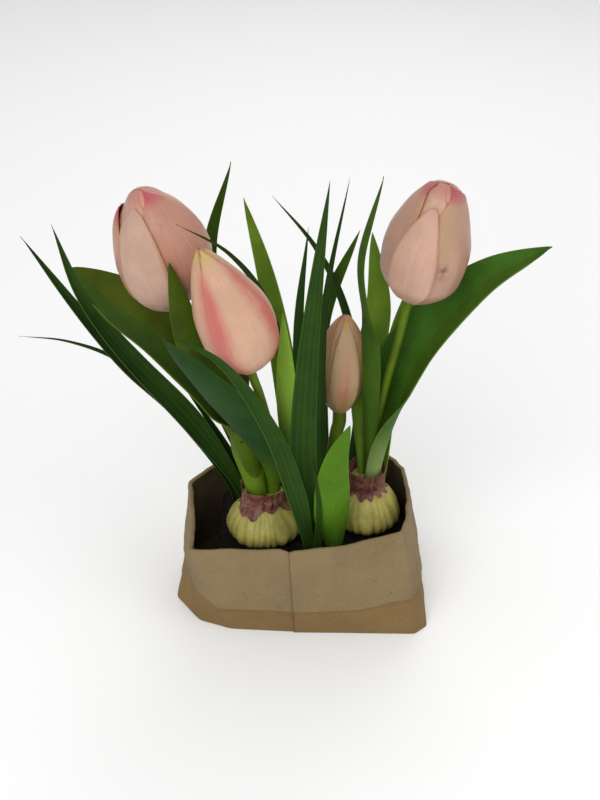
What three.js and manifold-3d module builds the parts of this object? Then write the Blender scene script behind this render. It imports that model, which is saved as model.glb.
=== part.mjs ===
// Tulip arrangement in a turned-down kraft paper bag.
// Millimetres, +Z up. Origin: centre of the bag's flat bottom. The front looks along -Y.
//
// Assembly: the paper bag holds a loose planting block (floral foam under a soil crust). Two bulbs on
// wooden picks, a bud, leaves and grass blades are pushed into the block. Each flower head is a core
// with an inner cup and three outer petals, and turns on a peg at the top of its stem.
import * as THREE from 'three';
import { mergeVertices } from 'three/addons/utils/BufferGeometryUtils.js';
import Module from 'manifold-3d';

const wasm = await Module();
wasm.setup();

// ---------------------------------------------------------------- driving dimensions
const GAP = 0.3; // clearance between touching pieces
const PAPER = 1.0; // one ply of stiff kraft paper, with its creases
const CUFF_STAND_OFF = 0.8; // air between the wall and the turned-down cuff

// Outline of the planting block, a loose fit in the bag's mouth.
const BLOCK = [
  [-34, -27], [41, -27], [44, -18], [45.5, 4], [44.5, 26], [38, 35], [-30, 35], [-37.5, 28], [-37.5, -23],
];
const FOAM_TOP = 23;
const SOIL_TOP = 30;
const PLANT_DEPTH = 12; // how far stems and blades are pushed below the soil's surface

const LEAF_THICK = 0.8;
const BLADE_THICK = 0.7;
const PETAL_THICK = 1.0;
const PEG_RADIUS = 1.0;
const PEG_LENGTH = 6;
const SOCKET_RADIUS = 1.3;
const PICK_RADIUS = 1.5;
const PICK_BOTTOM = 6;

// Bag outline, counter-clockwise from the front left corner: foot of the wall on the ground, rim of the
// wall, and the cuff's lower edge as a share of the wall's height.
const BAG = [
  { foot: [-33, -36], rim: [-50, -36, 46], cuff: 0.27 },
  { foot: [-4, -38], rim: [-6, -36.5, 46], cuff: 0.27 },
  { foot: [24, -39], rim: [20, -35, 47.5], cuff: 0.29 },
  { foot: [51, -39.5], rim: [44, -29.5, 51], cuff: 0.36 },
  { foot: [57, -34], rim: [47, -18, 50.5], cuff: 0.4 },
  { foot: [57.5, -5], rim: [49, 4, 49], cuff: 0.42 },
  { foot: [55, 28], rim: [48, 25, 47], cuff: 0.42 },
  { foot: [48, 38], rim: [42, 38, 46.5], cuff: 0.42 },
  { foot: [24, 40], rim: [20, 41, 46], cuff: 0.42 },
  { foot: [-8, 40], rim: [-8, 41.5, 46], cuff: 0.42 },
  { foot: [-38, 38], rim: [-33, 41, 46], cuff: 0.45 },
  { foot: [-56, 22], rim: [-54, 16, 46], cuff: 0.58 },
  { foot: [-60, -13], rim: [-51, -6, 46], cuff: 0.55 },
  { foot: [-48, -30], rim: [-49.5, -24, 46], cuff: 0.38 },
];

// Bulbs: axis position, widest radius and height of the widest ring, and neck.
const BULBS = {
  left: { at: [-18, -4.5], belly: 17.2, bellyZ: 38, neck: 9.3, neckZ: 56 },
  right: { at: [29.5, 5], belly: 16, bellyZ: 38, neck: 7.6, neckZ: 58 },
};
const BULB_FOOT_Z = 23.6;
const BULB_WALL = 1.0;
const WELL_DEPTH = 6; // the hollow in a bulb's neck that holds the stems and leaf sheaths
const HUSK_THICK = 1.0;

// Flower heads: base of the head, its axis, length and largest radius.
const HEADS = {
  left: { base: [-56, 2, 148], tip: [-65, -8, 204], radius: 18.2, turn: -100 },
  front: { base: [-22, -27, 134], tip: [-35, -41, 192], radius: 15.6, turn: -72 },
  bud: { base: [16.5, 10, 90], tip: [17.5, 4, 142], radius: 11, turn: -88 },
  right: { base: [45.5, 0, 153], tip: [59, -12, 207.5], radius: 18.8, turn: -115 },
};

// Roots that share a bulb's neck: nested sheaths round one stem.
const LEFT_NEST = [-20.9, -5.9, 51.5];
const FRONT_NEST = [-13.7, -2.7, 51.5];
const RIGHT_NEST = [31.4, 4.5, 53.5];
const ROOT_Z = SOIL_TOP - PLANT_DEPTH;

// Stems: radius, and route from the root to below the head.
const STEMS = {
  left: {
    radius: 1.95,
    route: [LEFT_NEST, [-21.4, -5.7, 62], [-25.5, -4.6, 90], [-37, -3, 116], [-49, 0, 133]],
  },
  front: {
    radius: 1.9,
    route: [FRONT_NEST, [-13.8, -2.7, 62], [-14.1, -5.5, 77], [-15.5, -13, 98], [-19, -22, 120]],
  },
  bud: { radius: 3.1, route: [[9.5, 11, ROOT_Z], [10, 11.5, 38], [13.5, 12, 62], [15.8, 11, 80]] },
  right: { radius: 1.95, route: [RIGHT_NEST, [31.6, 4.6, 64], [32.8, 2.6, 85], [36, 0.6, 108], [41, 0, 133]] },
};

// Leaves and blades. route: centre line from the root to the tip; a root below the soil's surface goes
// straight up through it. face: the way the hollow side looks. width: flat width at the widest. foot:
// width at the root as a share of that. wrap: how far the section curls, in degrees, at the root, in the
// middle and near the tip. thick: where it differs from the usual.
const LEAVES = {
  left_sheath_leaf: {
    route: [LEFT_NEST, [-21.7, -5.7, 60], [-30, -2.5, 90], [-60, 1, 132], [-80, 7, 146], [-99, 13, 160]],
    face: [0.6, -0.45, 0.65], width: 38, foot: 0.466, wrap: [260, 95, 40], broad: true,
  },
  left_short_leaf: {
    route: [LEFT_NEST, [-21.7, -6.1, 62], [-26, -9.5, 88], [-37, -15, 118], [-46, -19, 140], [-53, -25, 181]],
    face: [-0.2, 0.95, 0.2], width: 13.6, foot: 0.51, wrap: [150, 90, 40], broad: true, thick: 0.6,
  },
  front_sheath_leaf: {
    route: [
      FRONT_NEST, [-13.6, -3.3, 62], [-14, -15, 80], [-22, -25, 99], [-35, -32.5, 123], [-56, -38, 154],
    ],
    face: [0.4, 0.88, 0.3], width: 23, foot: 0.445, wrap: [220, 60, 40], broad: true,
  },
  centre_light_leaf: {
    route: [[3, -11, ROOT_Z], [-1.5, -9, 62], [-6.5, -12, 102], [-8.5, -15, 153]],
    face: [0.2, 0.9, 0.2], width: 11.5, foot: 0.5, wrap: [200, 70, 40], broad: true,
  },
  front_small_leaf: {
    route: [[15, -19, ROOT_Z], [13, -27, 64], [14, -30, 88], [19.5, -32, 109]],
    face: [-0.3, 0.9, 0.2], width: 17, foot: 0.3, wrap: [180, 55, 50], broad: true,
  },
  right_sheath_leaf: {
    route: [RIGHT_NEST, [32, 4.7, 64], [37.5, 5.5, 89], [54, 2, 131], [76, -5, 163], [99, -15, 183]],
    face: [-0.55, -0.45, 0.7], width: 35, foot: 0.506, wrap: [260, 95, 40], broad: true,
  },
  right_tall_leaf: {
    route: [RIGHT_NEST, [31.2, 4.2, 64], [30, -1, 96], [28, -10, 134], [22.5, -17, 176], [30.5, -23, 216]],
    face: [0.4, 0.9, 0.1], width: 8.5, foot: 0.8, wrap: [150, 60, 60], broad: true, thick: 0.6,
  },
  right_rear_leaf: {
    route: [[26.9, 8.4, 53.5], [26.9, 8.6, 61], [26, 13, 80], [28, 16.5, 104], [32.5, 13, 141], [28.5, 5, 180]],
    face: [0.2, 0.9, 0.1], width: 13, foot: 0.48, wrap: [280, 70, 50], broad: true,
  },
  rear_left_leaf: {
    route: [[-17, 30, ROOT_Z], [-36, 31, 100], [-41, 27, 160], [-30, 22, 204]],
    face: [0.3, -0.9, 0.1], width: 9, foot: 0.7, wrap: [160, 70, 60], broad: true,
  },
  rear_centre_leaf: {
    route: [[-4, 24, ROOT_Z], [-8, 25, 95], [-16, 22, 150], [-25, 17, 190]],
    face: [0.1, -0.95, 0.1], width: 11, foot: 0.6, wrap: [160, 60, 50], broad: true,
  },
  rear_right_leaf: {
    route: [[11, 27, ROOT_Z], [7, 28, 90], [9, 25, 130], [24, 20, 174]],
    face: [-0.2, -0.9, 0.1], width: 9, foot: 0.6, wrap: [160, 60, 50], broad: true,
  },
  behind_right_leaf: {
    route: [[37, 26, ROOT_Z], [39, 24, 95], [42, 22, 125], [47, 20, 150]],
    face: [-0.3, -0.9, 0.1], width: 9, foot: 0.6, wrap: [160, 60, 50], broad: true,
  },
  centre_tall_blade: {
    route: [[6.5, -17.5, ROOT_Z], [0, -25.5, 84], [1, -29, 130], [5, -29, 175], [10, -26, 216]],
    face: [0.1, -0.95, 0.2], width: 11.5, foot: 0.3, wrap: [120, 45, 60],
  },
  centre_left_blade: {
    route: [[5, -3, ROOT_Z], [0, -2, 90], [-2, -6, 143], [2, -9, 189]],
    face: [0.1, -0.95, 0.2], width: 7, foot: 0.4, wrap: [120, 50, 60],
  },
  centre_thin_blade: {
    route: [[9.5, -7, ROOT_Z], [7.5, -8, 95], [9, -10, 155], [18, -15, 213]],
    face: [0.3, -0.9, 0.2], width: 4.5, foot: 0.6, wrap: [90, 50, 50],
  },
  front_arch_blade: {
    route: [[2.5, -21.5, ROOT_Z], [-4, -33, 76], [-15, -41, 115], [-34, -50, 151], [-52, -49, 161]],
    face: [0.3, -0.8, 0.5], width: 9, foot: 0.35, wrap: [100, 50, 40],
  },
  front_short_blade: {
    route: [[6, -23.5, ROOT_Z], [7, -29, 64], [3.5, -32, 92]],
    face: [0.2, -0.9, 0.2], width: 3, foot: 0.9, wrap: [80, 50, 40],
  },
  left_dark_blade: {
    route: [
      [-29, 20.5, ROOT_Z], [-50, 19, 75], [-74, 11, 113], [-85.4, 3.4, 135.6], [-93.4, -6.6, 159.4], [-99.5, -16, 193],
    ],
    face: [0.4, -0.8, 0.4], width: 11, foot: 0.3, wrap: [120, 60, 60],
  },
  far_left_blade: {
    route: [[-33.5, 23.5, ROOT_Z], [-56, 20, 81], [-79, 17, 109], [-94, 12, 134], [-116, 0, 180.5]],
    face: [0.5, -0.7, 0.4], width: 9, foot: 0.35, wrap: [120, 60, 60],
  },
  low_left_blade: {
    route: [[-30.5, 29, ROOT_Z], [-57, 29, 72], [-83, 24, 107], [-105, 18, 121], [-125, 12, 127]],
    face: [0.3, -0.5, 0.8], width: 3.6, foot: 0.8, wrap: [80, 40, 40],
  },
  crossing_left_blade: {
    route: [[1, 13, ROOT_Z], [-7, 10, 96], [-15, -3, 150], [-30, -17, 181], [-49, -29, 199]],
    face: [0.6, -0.7, 0.4], width: 5, foot: 0.6, wrap: [80, 50, 40],
  },
  crossing_right_blade: {
    route: [[21, 25, ROOT_Z], [26, 23, 90], [18, 21, 137], [5, 14, 169], [-13, 6, 196]],
    face: [0.3, -0.8, 0.4], width: 5, foot: 0.6, wrap: [80, 50, 40],
  },
  back_left_blade: {
    route: [[-24.5, 29, ROOT_Z], [-38, 29, 72], [-50, 28, 100]],
    face: [0.4, -0.8, 0.4], width: 4.2, foot: 0.8, wrap: [90, 60, 40],
  },
  back_inner_blade: {
    route: [[-19.5, 22, ROOT_Z], [-27, 24, 74], [-36, 23, 110]],
    face: [0.4, -0.8, 0.3], width: 4.2, foot: 0.8, wrap: [90, 60, 40],
  },
};

const COLOURS = {
  kraft: { color: 0xa38a66, roughness: 0.85 },
  cuff: { color: 0x9d8b6c, roughness: 0.85 },
  foam: { color: 0x1c1d19, roughness: 0.95 },
  soil: { color: 0x181712, roughness: 1.0 },
  bulb: { color: 0xb2a956, roughness: 0.55 },
  husk: { color: 0x6f3f44, roughness: 0.6 },
  pick: { color: 0xb08a58, roughness: 0.8 },
  stem: { color: 0x55731f, roughness: 0.45 },
  leaf: { color: 0x3c6a24, roughness: 0.4 },
  blade: { color: 0x284c20, roughness: 0.45 },
  petal: { color: 0xd6a58e, roughness: 0.4 },
  cup: { color: 0xc98c66, roughness: 0.5 },
  core: { color: 0x8f9a3a, roughness: 0.7 },
};

// ---------------------------------------------------------------- building blocks
const arrangement = new THREE.Group();

function add(name, geometry, finish) {
  const material = new THREE.MeshStandardMaterial({ metalness: 0, ...COLOURS[finish] });
  const mesh = new THREE.Mesh(geometry, material);
  mesh.name = name;
  arrangement.add(mesh);
  return mesh;
}

function geometryOf(points, triangles) {
  const flat = new Float32Array(points.flatMap((p) => [p.x, p.y, p.z]));
  return new THREE.BufferGeometry()
    .setAttribute('position', new THREE.BufferAttribute(flat, 3))
    .setIndex(triangles);
}

function solidOf(geometry) {
  const bare = geometry.clone();
  bare.deleteAttribute('normal');
  bare.deleteAttribute('uv');
  const merged = mergeVertices(bare, 1e-4);
  const vertProperties = new Float32Array(merged.getAttribute('position').array);
  const triVerts = new Uint32Array(merged.index.array);
  return new wasm.Manifold(new wasm.Mesh({ numProp: 3, vertProperties, triVerts }));
}

function geometryFrom(solid) {
  const { vertProperties, triVerts } = solid.getMesh();
  return new THREE.BufferGeometry()
    .setAttribute('position', new THREE.BufferAttribute(new Float32Array(vertProperties), 3))
    .setIndex(new THREE.BufferAttribute(new Uint32Array(triVerts), 1));
}

// Skins a row of equal rings. 'strip' closes an end across a ring whose first half is one skin and whose
// second half is the other, 'fan' closes it round its centre, and 'point' brings it to one vertex.
// From row innerRow on, the skin folds along the other diagonals, so that the inside of a thin wall
// follows its outside.
function loft(rings, startCap, endCap, { endPoint, innerRow = Infinity } = {}) {
  const points = rings.flat();
  const size = rings[0].length;
  const triangles = [];
  const quad = (a, b, c, d) => triangles.push(a, b, c, a, c, d);
  for (let k = 0; k + 1 < rings.length; k++)
    for (let i = 0; i < size; i++) {
      const j = (i + 1) % size;
      const corners = [k * size + i, k * size + j, (k + 1) * size + j, (k + 1) * size + i];
      quad(...(k < innerRow ? corners : [...corners.slice(1), corners[0]]));
    }
  const last = (rings.length - 1) * size;
  const fan = (start, centre, flip) => {
    points.push(centre);
    for (let i = 0; i < size; i++) {
      const [a, b] = [start + i, start + ((i + 1) % size)];
      triangles.push(...(flip ? [b, a] : [a, b]), points.length - 1);
    }
  };
  const strip = (start, flip) => {
    for (let i = 0; i + 1 < size / 2; i++) {
      const [a, b, c, d] = [i, i + 1, size - 2 - i, size - 1 - i].map((n) => start + n);
      flip ? quad(d, c, b, a) : quad(a, b, c, d);
    }
  };
  const centreOf = (ring) => ring.reduce((s, p) => s.add(p), new THREE.Vector3()).divideScalar(size);
  startCap === 'fan' ? fan(0, centreOf(rings[0]), true) : strip(0, true);
  if (endCap === 'point') fan(last, endPoint, false);
  else endCap === 'fan' ? fan(last, centreOf(rings.at(-1)), false) : strip(last, false);
  return facingOut(points, triangles);
}

// Turns the whole mesh round where its faces point inwards.
function facingOut(points, triangles) {
  let volume = 0;
  for (let i = 0; i < triangles.length; i += 3) {
    const [a, b, c] = [0, 1, 2].map((n) => points[triangles[i + n]]);
    volume += a.dot(new THREE.Vector3().crossVectors(b, c));
  }
  if (volume < 0) triangles.reverse();
  return geometryOf(points, triangles);
}

function lathe(profile, x, y, segments = 16) {
  const points = profile.map(([r, z]) => new THREE.Vector2(r, z));
  return new THREE.LatheGeometry(points, segments).rotateX(Math.PI / 2).translate(x, y, 0);
}

const vec = (p) => new THREE.Vector3(...p);
const mix = THREE.MathUtils.lerp;
const ease = (t) => THREE.MathUtils.smoothstep(t, 0, 1);
const rad = THREE.MathUtils.degToRad;

// ---------------------------------------------------------------- paper bag
// Mitre at corner i of the bag's outline in plan: the step that moves both its sides out by 1 mm.
function mitre(i, which) {
  const at = (n) => new THREE.Vector2(...BAG[(n + BAG.length) % BAG.length][which]);
  const normals = [i - 1, i].map((n) => {
    const side = at(n + 1).sub(at(n)).normalize();
    return new THREE.Vector2(side.y, -side.x);
  });
  const spread = 1 + normals[0].dot(normals[1]);
  return normals[0].add(normals[1]).divideScalar(spread);
}

// A point of the wall: share of its height, and how far it stands out from the paper's middle.
function wallPoint(i, share, offset) {
  const { foot, rim } = BAG[i];
  const n = mitre(i, 'foot').lerp(mitre(i, 'rim'), share).multiplyScalar(offset);
  const [x, y] = [0, 1].map((axis) => mix(foot[axis], rim[axis], share));
  return new THREE.Vector3(x + n.x, y + n.y, rim[2] * share);
}

const ringAt = (share, offset) =>
  BAG.map((corner, i) => wallPoint(i, typeof share === 'function' ? share(corner) : share, offset));

function paperBag() {
  const inside = ringAt(0, -PAPER).map((p) => p.setZ(PAPER));
  const cuffEdge = (corner) => corner.cuff;
  const levels = [[0, 0], [cuffEdge, 0], [1, 0], [1, -PAPER], [cuffEdge, -PAPER]];
  return loft([...levels.map((level) => ringAt(...level)), inside], 'fan', 'fan', { innerRow: 3 });
}

// The turned-down top of the bag: a closed band outside the wall, from the fold to its cut edge.
function turnedCuff() {
  const inner = CUFF_STAND_OFF;
  const outer = CUFF_STAND_OFF + PAPER;
  const bottom = (corner) => corner.cuff;
  const rings = [ringAt(bottom, inner), ringAt(bottom, outer), ringAt(1, outer), ringAt(1, inner)];
  const size = BAG.length;
  const triangles = [];
  rings.forEach((_, k) => {
    const next = ((k + 1) % rings.length) * size;
    for (let i = 0; i < size; i++) {
      const j = (i + 1) % size;
      const [a, b, c, d] = [k * size + i, k * size + j, next + j, next + i];
      // Both skins fold along the same diagonals as the wall behind them.
      k === 3 ? triangles.push(a, b, d, b, c, d) : triangles.push(a, b, c, a, c, d);
    }
  });
  return facingOut(rings.flat(), triangles);
}

// ---------------------------------------------------------------- planting block
const plantHoles = []; // round holes in the block: { x, y, radius, bottom }

function blockSlab(bottom, top) {
  const shape = new THREE.Shape(BLOCK.map((p) => new THREE.Vector2(...p)));
  const options = { depth: top - bottom, bevelEnabled: false };
  return new THREE.ExtrudeGeometry(shape, options).translate(0, 0, bottom);
}

function cylinder(x, y, radius, bottom, top, segments = 10) {
  const geometry = new THREE.CylinderGeometry(radius, radius, top - bottom, segments);
  return geometry.rotateX(Math.PI / 2).translate(x, y, (top + bottom) / 2);
}

function drilled(slab, cutters) {
  const cut = cutters.reduce((rest, cutter) => rest.subtract(solidOf(cutter)), solidOf(slab));
  return geometryFrom(cut);
}

function plantingBlock() {
  const through = (hole) => cylinder(hole.x, hole.y, hole.radius, hole.bottom, SOIL_TOP + 5);
  const dimples = Object.values(BULBS).map((bulb) => bulbBody(bulb, GAP));
  add('foam_block', drilled(blockSlab(PAPER + GAP, FOAM_TOP), plantHoles.map(through)), 'foam');
  const crust = drilled(blockSlab(FOAM_TOP + GAP, SOIL_TOP), [...plantHoles.map(through), ...dimples]);
  add('soil_crust', crust, 'soil');
}

// ---------------------------------------------------------------- bulbs
// Outer profile of a bulb from its foot to the neck, grown by a clearance.
function bulbProfile({ belly, bellyZ, neck, neckZ }, grow) {
  return [
    [0, BULB_FOOT_Z - grow],
    [belly * 0.45 + grow, BULB_FOOT_Z - grow],
    [belly * 0.5 + grow, SOIL_TOP - 0.5],
    [belly * 0.86 + grow, mix(SOIL_TOP, bellyZ, 0.42)],
    [belly + grow, bellyZ],
    [belly * 0.93 + grow, mix(bellyZ, neckZ, 0.25)],
    [belly * 0.74 + grow, mix(bellyZ, neckZ, 0.5)],
    [neck + grow, mix(bellyZ, neckZ, 0.72)],
    [neck + grow, neckZ],
  ];
}

const bulbBody = (bulb, grow) =>
  lathe([...bulbProfile(bulb, grow), [0, bulb.neckZ]], ...bulb.at, 18);

function addBulb(side) {
  const bulb = BULBS[side];
  const [x, y] = bulb.at;
  const well = bulb.neck - BULB_WALL;
  const floor = bulb.neckZ - WELL_DEPTH;
  const socketTop = BULB_FOOT_Z + 6;
  const profile = [...bulbProfile(bulb, 0), [well, bulb.neckZ], [well, floor], [0, floor]];
  const socket = cylinder(x, y, PICK_RADIUS + GAP, BULB_FOOT_Z - 2, socketTop);
  add(`${side}_bulb`, drilled(lathe(profile, x, y, 18), [socket]), 'bulb');

  // The husk wraps the neck and laps a little way down the bulb's shoulder.
  const [shoulder, neckFoot, rim] = bulbProfile(bulb, GAP + 0.1).slice(-3);
  const hem = [mix(shoulder[0], neckFoot[0], 0.55), mix(shoulder[1], neckFoot[1], 0.55)];
  const inner = [hem, neckFoot, rim, [rim[0] - 0.2, rim[1] + 3]];
  const outer = inner.map(([r, z], k) => [r + HUSK_THICK, k === 0 ? z + 0.5 : z]).reverse();
  const husk = [...inner, ...outer, hem].reverse();
  add(`${side}_husk`, lathe(husk, x, y, 18), 'husk');

  add(`${side}_pick`, cylinder(x, y, PICK_RADIUS, PICK_BOTTOM, socketTop - GAP, 8), 'pick');
  plantHoles.push({ x, y, radius: PICK_RADIUS + GAP, bottom: PICK_BOTTOM - GAP });
}

// ---------------------------------------------------------------- leaves and blades
const LEAF_STATIONS = [0.12, 0.22, 0.36, 0.5, 0.64, 0.78, 0.9];
const BLADE_STATIONS = [0.16, 0.3, 0.46, 0.62, 0.78, 0.92];

// Share of the full width at t along a leaf that widens from its foot and comes to a point.
function outlineAt(t, foot, broad) {
  const widest = broad ? 0.45 : 0.35;
  const root = foot + (1 - foot) * ease(Math.min(1, t / widest));
  const toTip = Math.max(0, (t - widest) / (1 - widest));
  return root * Math.pow(1 - Math.pow(toTip, broad ? 2 : 1.6), broad ? 0.85 : 1);
}

function wrapAt(t, [root, middle, tip]) {
  return rad(t < 0.42 ? mix(root, middle, ease(t / 0.42)) : mix(middle, tip, (t - 0.42) / 0.58));
}

// A leaf's centre line. Out of the soil it goes straight up to just over the surface, at the share of its
// length that straight holds. In a bulb's neck it is the axis of a sheath, and turns into the rib above.
function leafCurve(route) {
  const [x, y, z] = route[0];
  const sheath = z > SOIL_TOP;
  const top = sheath ? [] : [[x, y, SOIL_TOP + 4]];
  const points = [route[0], ...top, ...route.slice(1)].map(vec);
  const curve = new THREE.CatmullRomCurve3(points, false, 'centripetal');
  return { curve, sheath, straight: [sheath ? 0.05 : (SOIL_TOP + 3 - z) / curve.getLength()] };
}

// A thin curled strip along a route: rings of the hollow skin followed by the outer skin.
function strip(leaf, thick, across, stations) {
  const { face, width, foot, wrap, broad } = leaf;
  const { curve, straight, sheath } = leafCurve(leaf.route);
  const facing = vec(face);
  const rings = [0, ...straight, ...stations.filter((t) => t > straight.at(-1) + 0.04)].map((t) => {
    const centre = curve.getPointAt(t);
    const along = curve.getTangentAt(t);
    const normal = facing.clone().addScaledVector(along, -facing.dot(along)).normalize();
    const side = new THREE.Vector3().crossVectors(along, normal);
    const angle = wrapAt(t, wrap);
    const radius = (width * outlineAt(t, foot, broad)) / angle;
    const rib = sheath ? ease(Math.min(1, t / 0.42)) : 1;
    const skin = (offset) =>
      Array.from({ length: across }, (_, i) => {
        const turn = angle * (i / (across - 1) - 0.5);
        return centre
          .clone()
          .addScaledVector(side, (radius + offset) * Math.sin(turn))
          .addScaledVector(normal, radius * rib - (radius + offset) * Math.cos(turn));
      });
    return [...skin(-thick / 2), ...skin(thick / 2).reverse()];
  });
  return loft(rings, 'strip', 'point', { endPoint: curve.getPointAt(1) });
}

function addLeaves() {
  for (const [name, leaf] of Object.entries(LEAVES)) {
    const thick = leaf.thick ?? (leaf.broad ? LEAF_THICK : BLADE_THICK);
    const stations = leaf.broad ? LEAF_STATIONS : BLADE_STATIONS;
    const across = leaf.wrap[0] > 200 ? 7 : leaf.broad ? 5 : 3;
    add(name, strip(leaf, thick, across, stations), leaf.broad ? 'leaf' : 'blade');
    const [x, y, z] = leaf.route[0];
    if (z < SOIL_TOP) {
      const [share] = leafCurve(leaf.route).straight;
      const reach = (leaf.width * outlineAt(share, leaf.foot, leaf.broad)) / 2;
      plantHoles.push({ x, y, radius: Math.max(1.6, reach) + 0.5, bottom: z - GAP });
    }
  }
}

// ---------------------------------------------------------------- tulips
// Radius of a flower head at t of its height, as a share of its widest.
const HEAD_PROFILE = [[0, 0.3], [0.1, 0.66], [0.24, 0.92], [0.42, 1], [0.66, 0.88], [0.86, 0.56], [1, 0.2]];

function headRadius(t) {
  const k = Math.max(1, HEAD_PROFILE.findIndex(([at]) => at >= t));
  const [[t0, r0], [t1, r1]] = [HEAD_PROFILE[k - 1], HEAD_PROFILE[k]];
  return mix(r0, r1, (t - t0) / (t1 - t0));
}

// Half the angle that an outer petal spans at t of its height, in degrees.
function petalSpan(t) {
  const body = mix(34, 58, ease(Math.min(1, t / 0.3)));
  return body * Math.pow(1 - Math.pow(t, 7), 0.6);
}

function outerPetal(length, radius, centreTurn) {
  const stations = [0.02, 0.12, 0.28, 0.46, 0.64, 0.8, 0.92];
  const across = 5;
  const rings = stations.map((t) => {
    const skin = (offset) =>
      Array.from({ length: across }, (_, i) => {
        const turn = rad(centreTurn + petalSpan(t) * (2 * (i / (across - 1)) - 1));
        const reach = headRadius(t) * radius + offset;
        return new THREE.Vector3(reach * Math.cos(turn), reach * Math.sin(turn), length * t);
      });
    return [...skin(0), ...skin(-PETAL_THICK).reverse()];
  });
  const tip = rad(centreTurn);
  const reach = headRadius(1) * radius;
  const apex = new THREE.Vector3(reach * Math.cos(tip), reach * Math.sin(tip), length);
  return loft(rings, 'strip', 'point', { endPoint: apex });
}

function innerCup(length, radius) {
  const stations = [0.06, 0.14, 0.28, 0.46, 0.66, 0.84, 0.94];
  const clear = PETAL_THICK + 3 * GAP;
  const skin = (offset) => stations.map((t) => [headRadius(t) * radius - clear - offset, length * t]);
  const outer = skin(0);
  return lathe([...outer, ...skin(PETAL_THICK).reverse(), outer[0]], 0, 0, 15);
}

function headCore(length, radius) {
  const neck = Math.max(1.9, radius * 0.3 - PETAL_THICK - 2 * GAP);
  const socket = PEG_LENGTH + GAP;
  const profile = [
    [SOCKET_RADIUS, 0], [neck, 0], [neck, length * 0.05], [neck + 0.8, length * 0.12],
    [neck + 1.2, length * 0.2], [neck, length * 0.28], [0, length * 0.32], [0, socket],
    [SOCKET_RADIUS, socket], [SOCKET_RADIUS, 0],
  ];
  return lathe(profile, 0, 0, 12);
}

function addTulip(side) {
  const { base, tip, radius, turn } = HEADS[side];
  const axis = vec(tip).sub(vec(base));
  const length = axis.length();
  axis.normalize();
  const head = new THREE.Group();
  head.position.set(...base);
  head.quaternion.setFromUnitVectors(new THREE.Vector3(0, 0, 1), axis);
  head.add(add(`${side}_tulip_core`, headCore(length, radius), 'core'));
  head.add(add(`${side}_tulip_inner_cup`, innerCup(length, radius), 'cup'));
  for (let n = 0; n < 3; n++)
    head.add(add(`${side}_tulip_petal_${n + 1}`, outerPetal(length, radius, turn + 120 * n), 'petal'));
  arrangement.add(head);
  addStem(side, vec(base), axis);
}

// A round stem that ends square under the head, with a peg for the core's socket.
function addStem(side, base, axis) {
  const { radius, route } = STEMS[side];
  const seat = base.clone().addScaledVector(axis, -GAP);
  const below = seat.clone().addScaledVector(axis, -8);
  const curve = new THREE.CatmullRomCurve3([...route.map(vec), below, seat], false, 'centripetal');
  const sides = 8;
  const steps = 9;
  const ring = (centre, along, r) => {
    const across = new THREE.Vector3(0, -1, 0).addScaledVector(along, along.y).normalize();
    const other = new THREE.Vector3().crossVectors(along, across);
    return Array.from({ length: sides }, (_, i) => {
      const turn = (2 * Math.PI * i) / sides;
      return centre
        .clone()
        .addScaledVector(across, r * Math.cos(turn))
        .addScaledVector(other, r * Math.sin(turn));
    });
  };
  const rings = [];
  for (let t = 0; t < 1 - 1e-6; t += 1 / steps)
    rings.push(ring(curve.getPointAt(t), curve.getTangentAt(t), radius));
  rings.push(ring(seat, axis, radius), ring(seat, axis, PEG_RADIUS));
  rings.push(ring(seat.clone().addScaledVector(axis, PEG_LENGTH), axis, PEG_RADIUS));
  add(`${side}_tulip_stem`, loft(rings, 'fan', 'fan'), 'stem');
  const [x, y, z] = route[0];
  if (z < SOIL_TOP) plantHoles.push({ x, y, radius: radius + 0.8, bottom: z - GAP });
}

// ---------------------------------------------------------------- assembly
add('kraft_bag', paperBag(), 'kraft');
add('bag_cuff', turnedCuff(), 'cuff');
Object.keys(BULBS).forEach(addBulb);
Object.keys(HEADS).forEach(addTulip);
addLeaves();
plantingBlock();

export default arrangement;
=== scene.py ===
"""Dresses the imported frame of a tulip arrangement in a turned-down kraft paper bag.

Lengths in the tables are millimetres in the frame's axes; everything handed to Blender is in metres.
"""

import math
import random

import bpy
from mathutils import Matrix, Vector, noise


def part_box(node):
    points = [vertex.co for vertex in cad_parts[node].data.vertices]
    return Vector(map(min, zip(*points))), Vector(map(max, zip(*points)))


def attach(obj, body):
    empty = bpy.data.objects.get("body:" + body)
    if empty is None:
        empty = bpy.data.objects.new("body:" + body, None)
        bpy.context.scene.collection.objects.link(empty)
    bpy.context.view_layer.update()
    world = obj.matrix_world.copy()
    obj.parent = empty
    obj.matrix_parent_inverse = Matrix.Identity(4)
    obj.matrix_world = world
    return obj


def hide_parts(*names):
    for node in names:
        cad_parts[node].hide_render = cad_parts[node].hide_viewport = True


bl_info = {
    "name": "Tulips in a Paper Bag",
    "version": (1, 0, 0),
    "blender": (4, 5, 0),
    "location": "3D View > Sidebar > Tulips",
    "description": "Builds a tulip and bulb arrangement in a kraft paper bag around its frame",
    "category": "Add Mesh",
}

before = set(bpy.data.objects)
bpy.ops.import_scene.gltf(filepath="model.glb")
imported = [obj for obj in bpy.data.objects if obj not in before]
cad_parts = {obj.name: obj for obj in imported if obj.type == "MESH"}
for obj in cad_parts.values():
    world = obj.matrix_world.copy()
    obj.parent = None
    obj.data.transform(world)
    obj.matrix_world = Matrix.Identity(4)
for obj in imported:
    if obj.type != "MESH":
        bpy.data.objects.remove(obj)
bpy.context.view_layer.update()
MM = 0.001
SOIL_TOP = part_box("soil_crust")[1].z / MM

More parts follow.
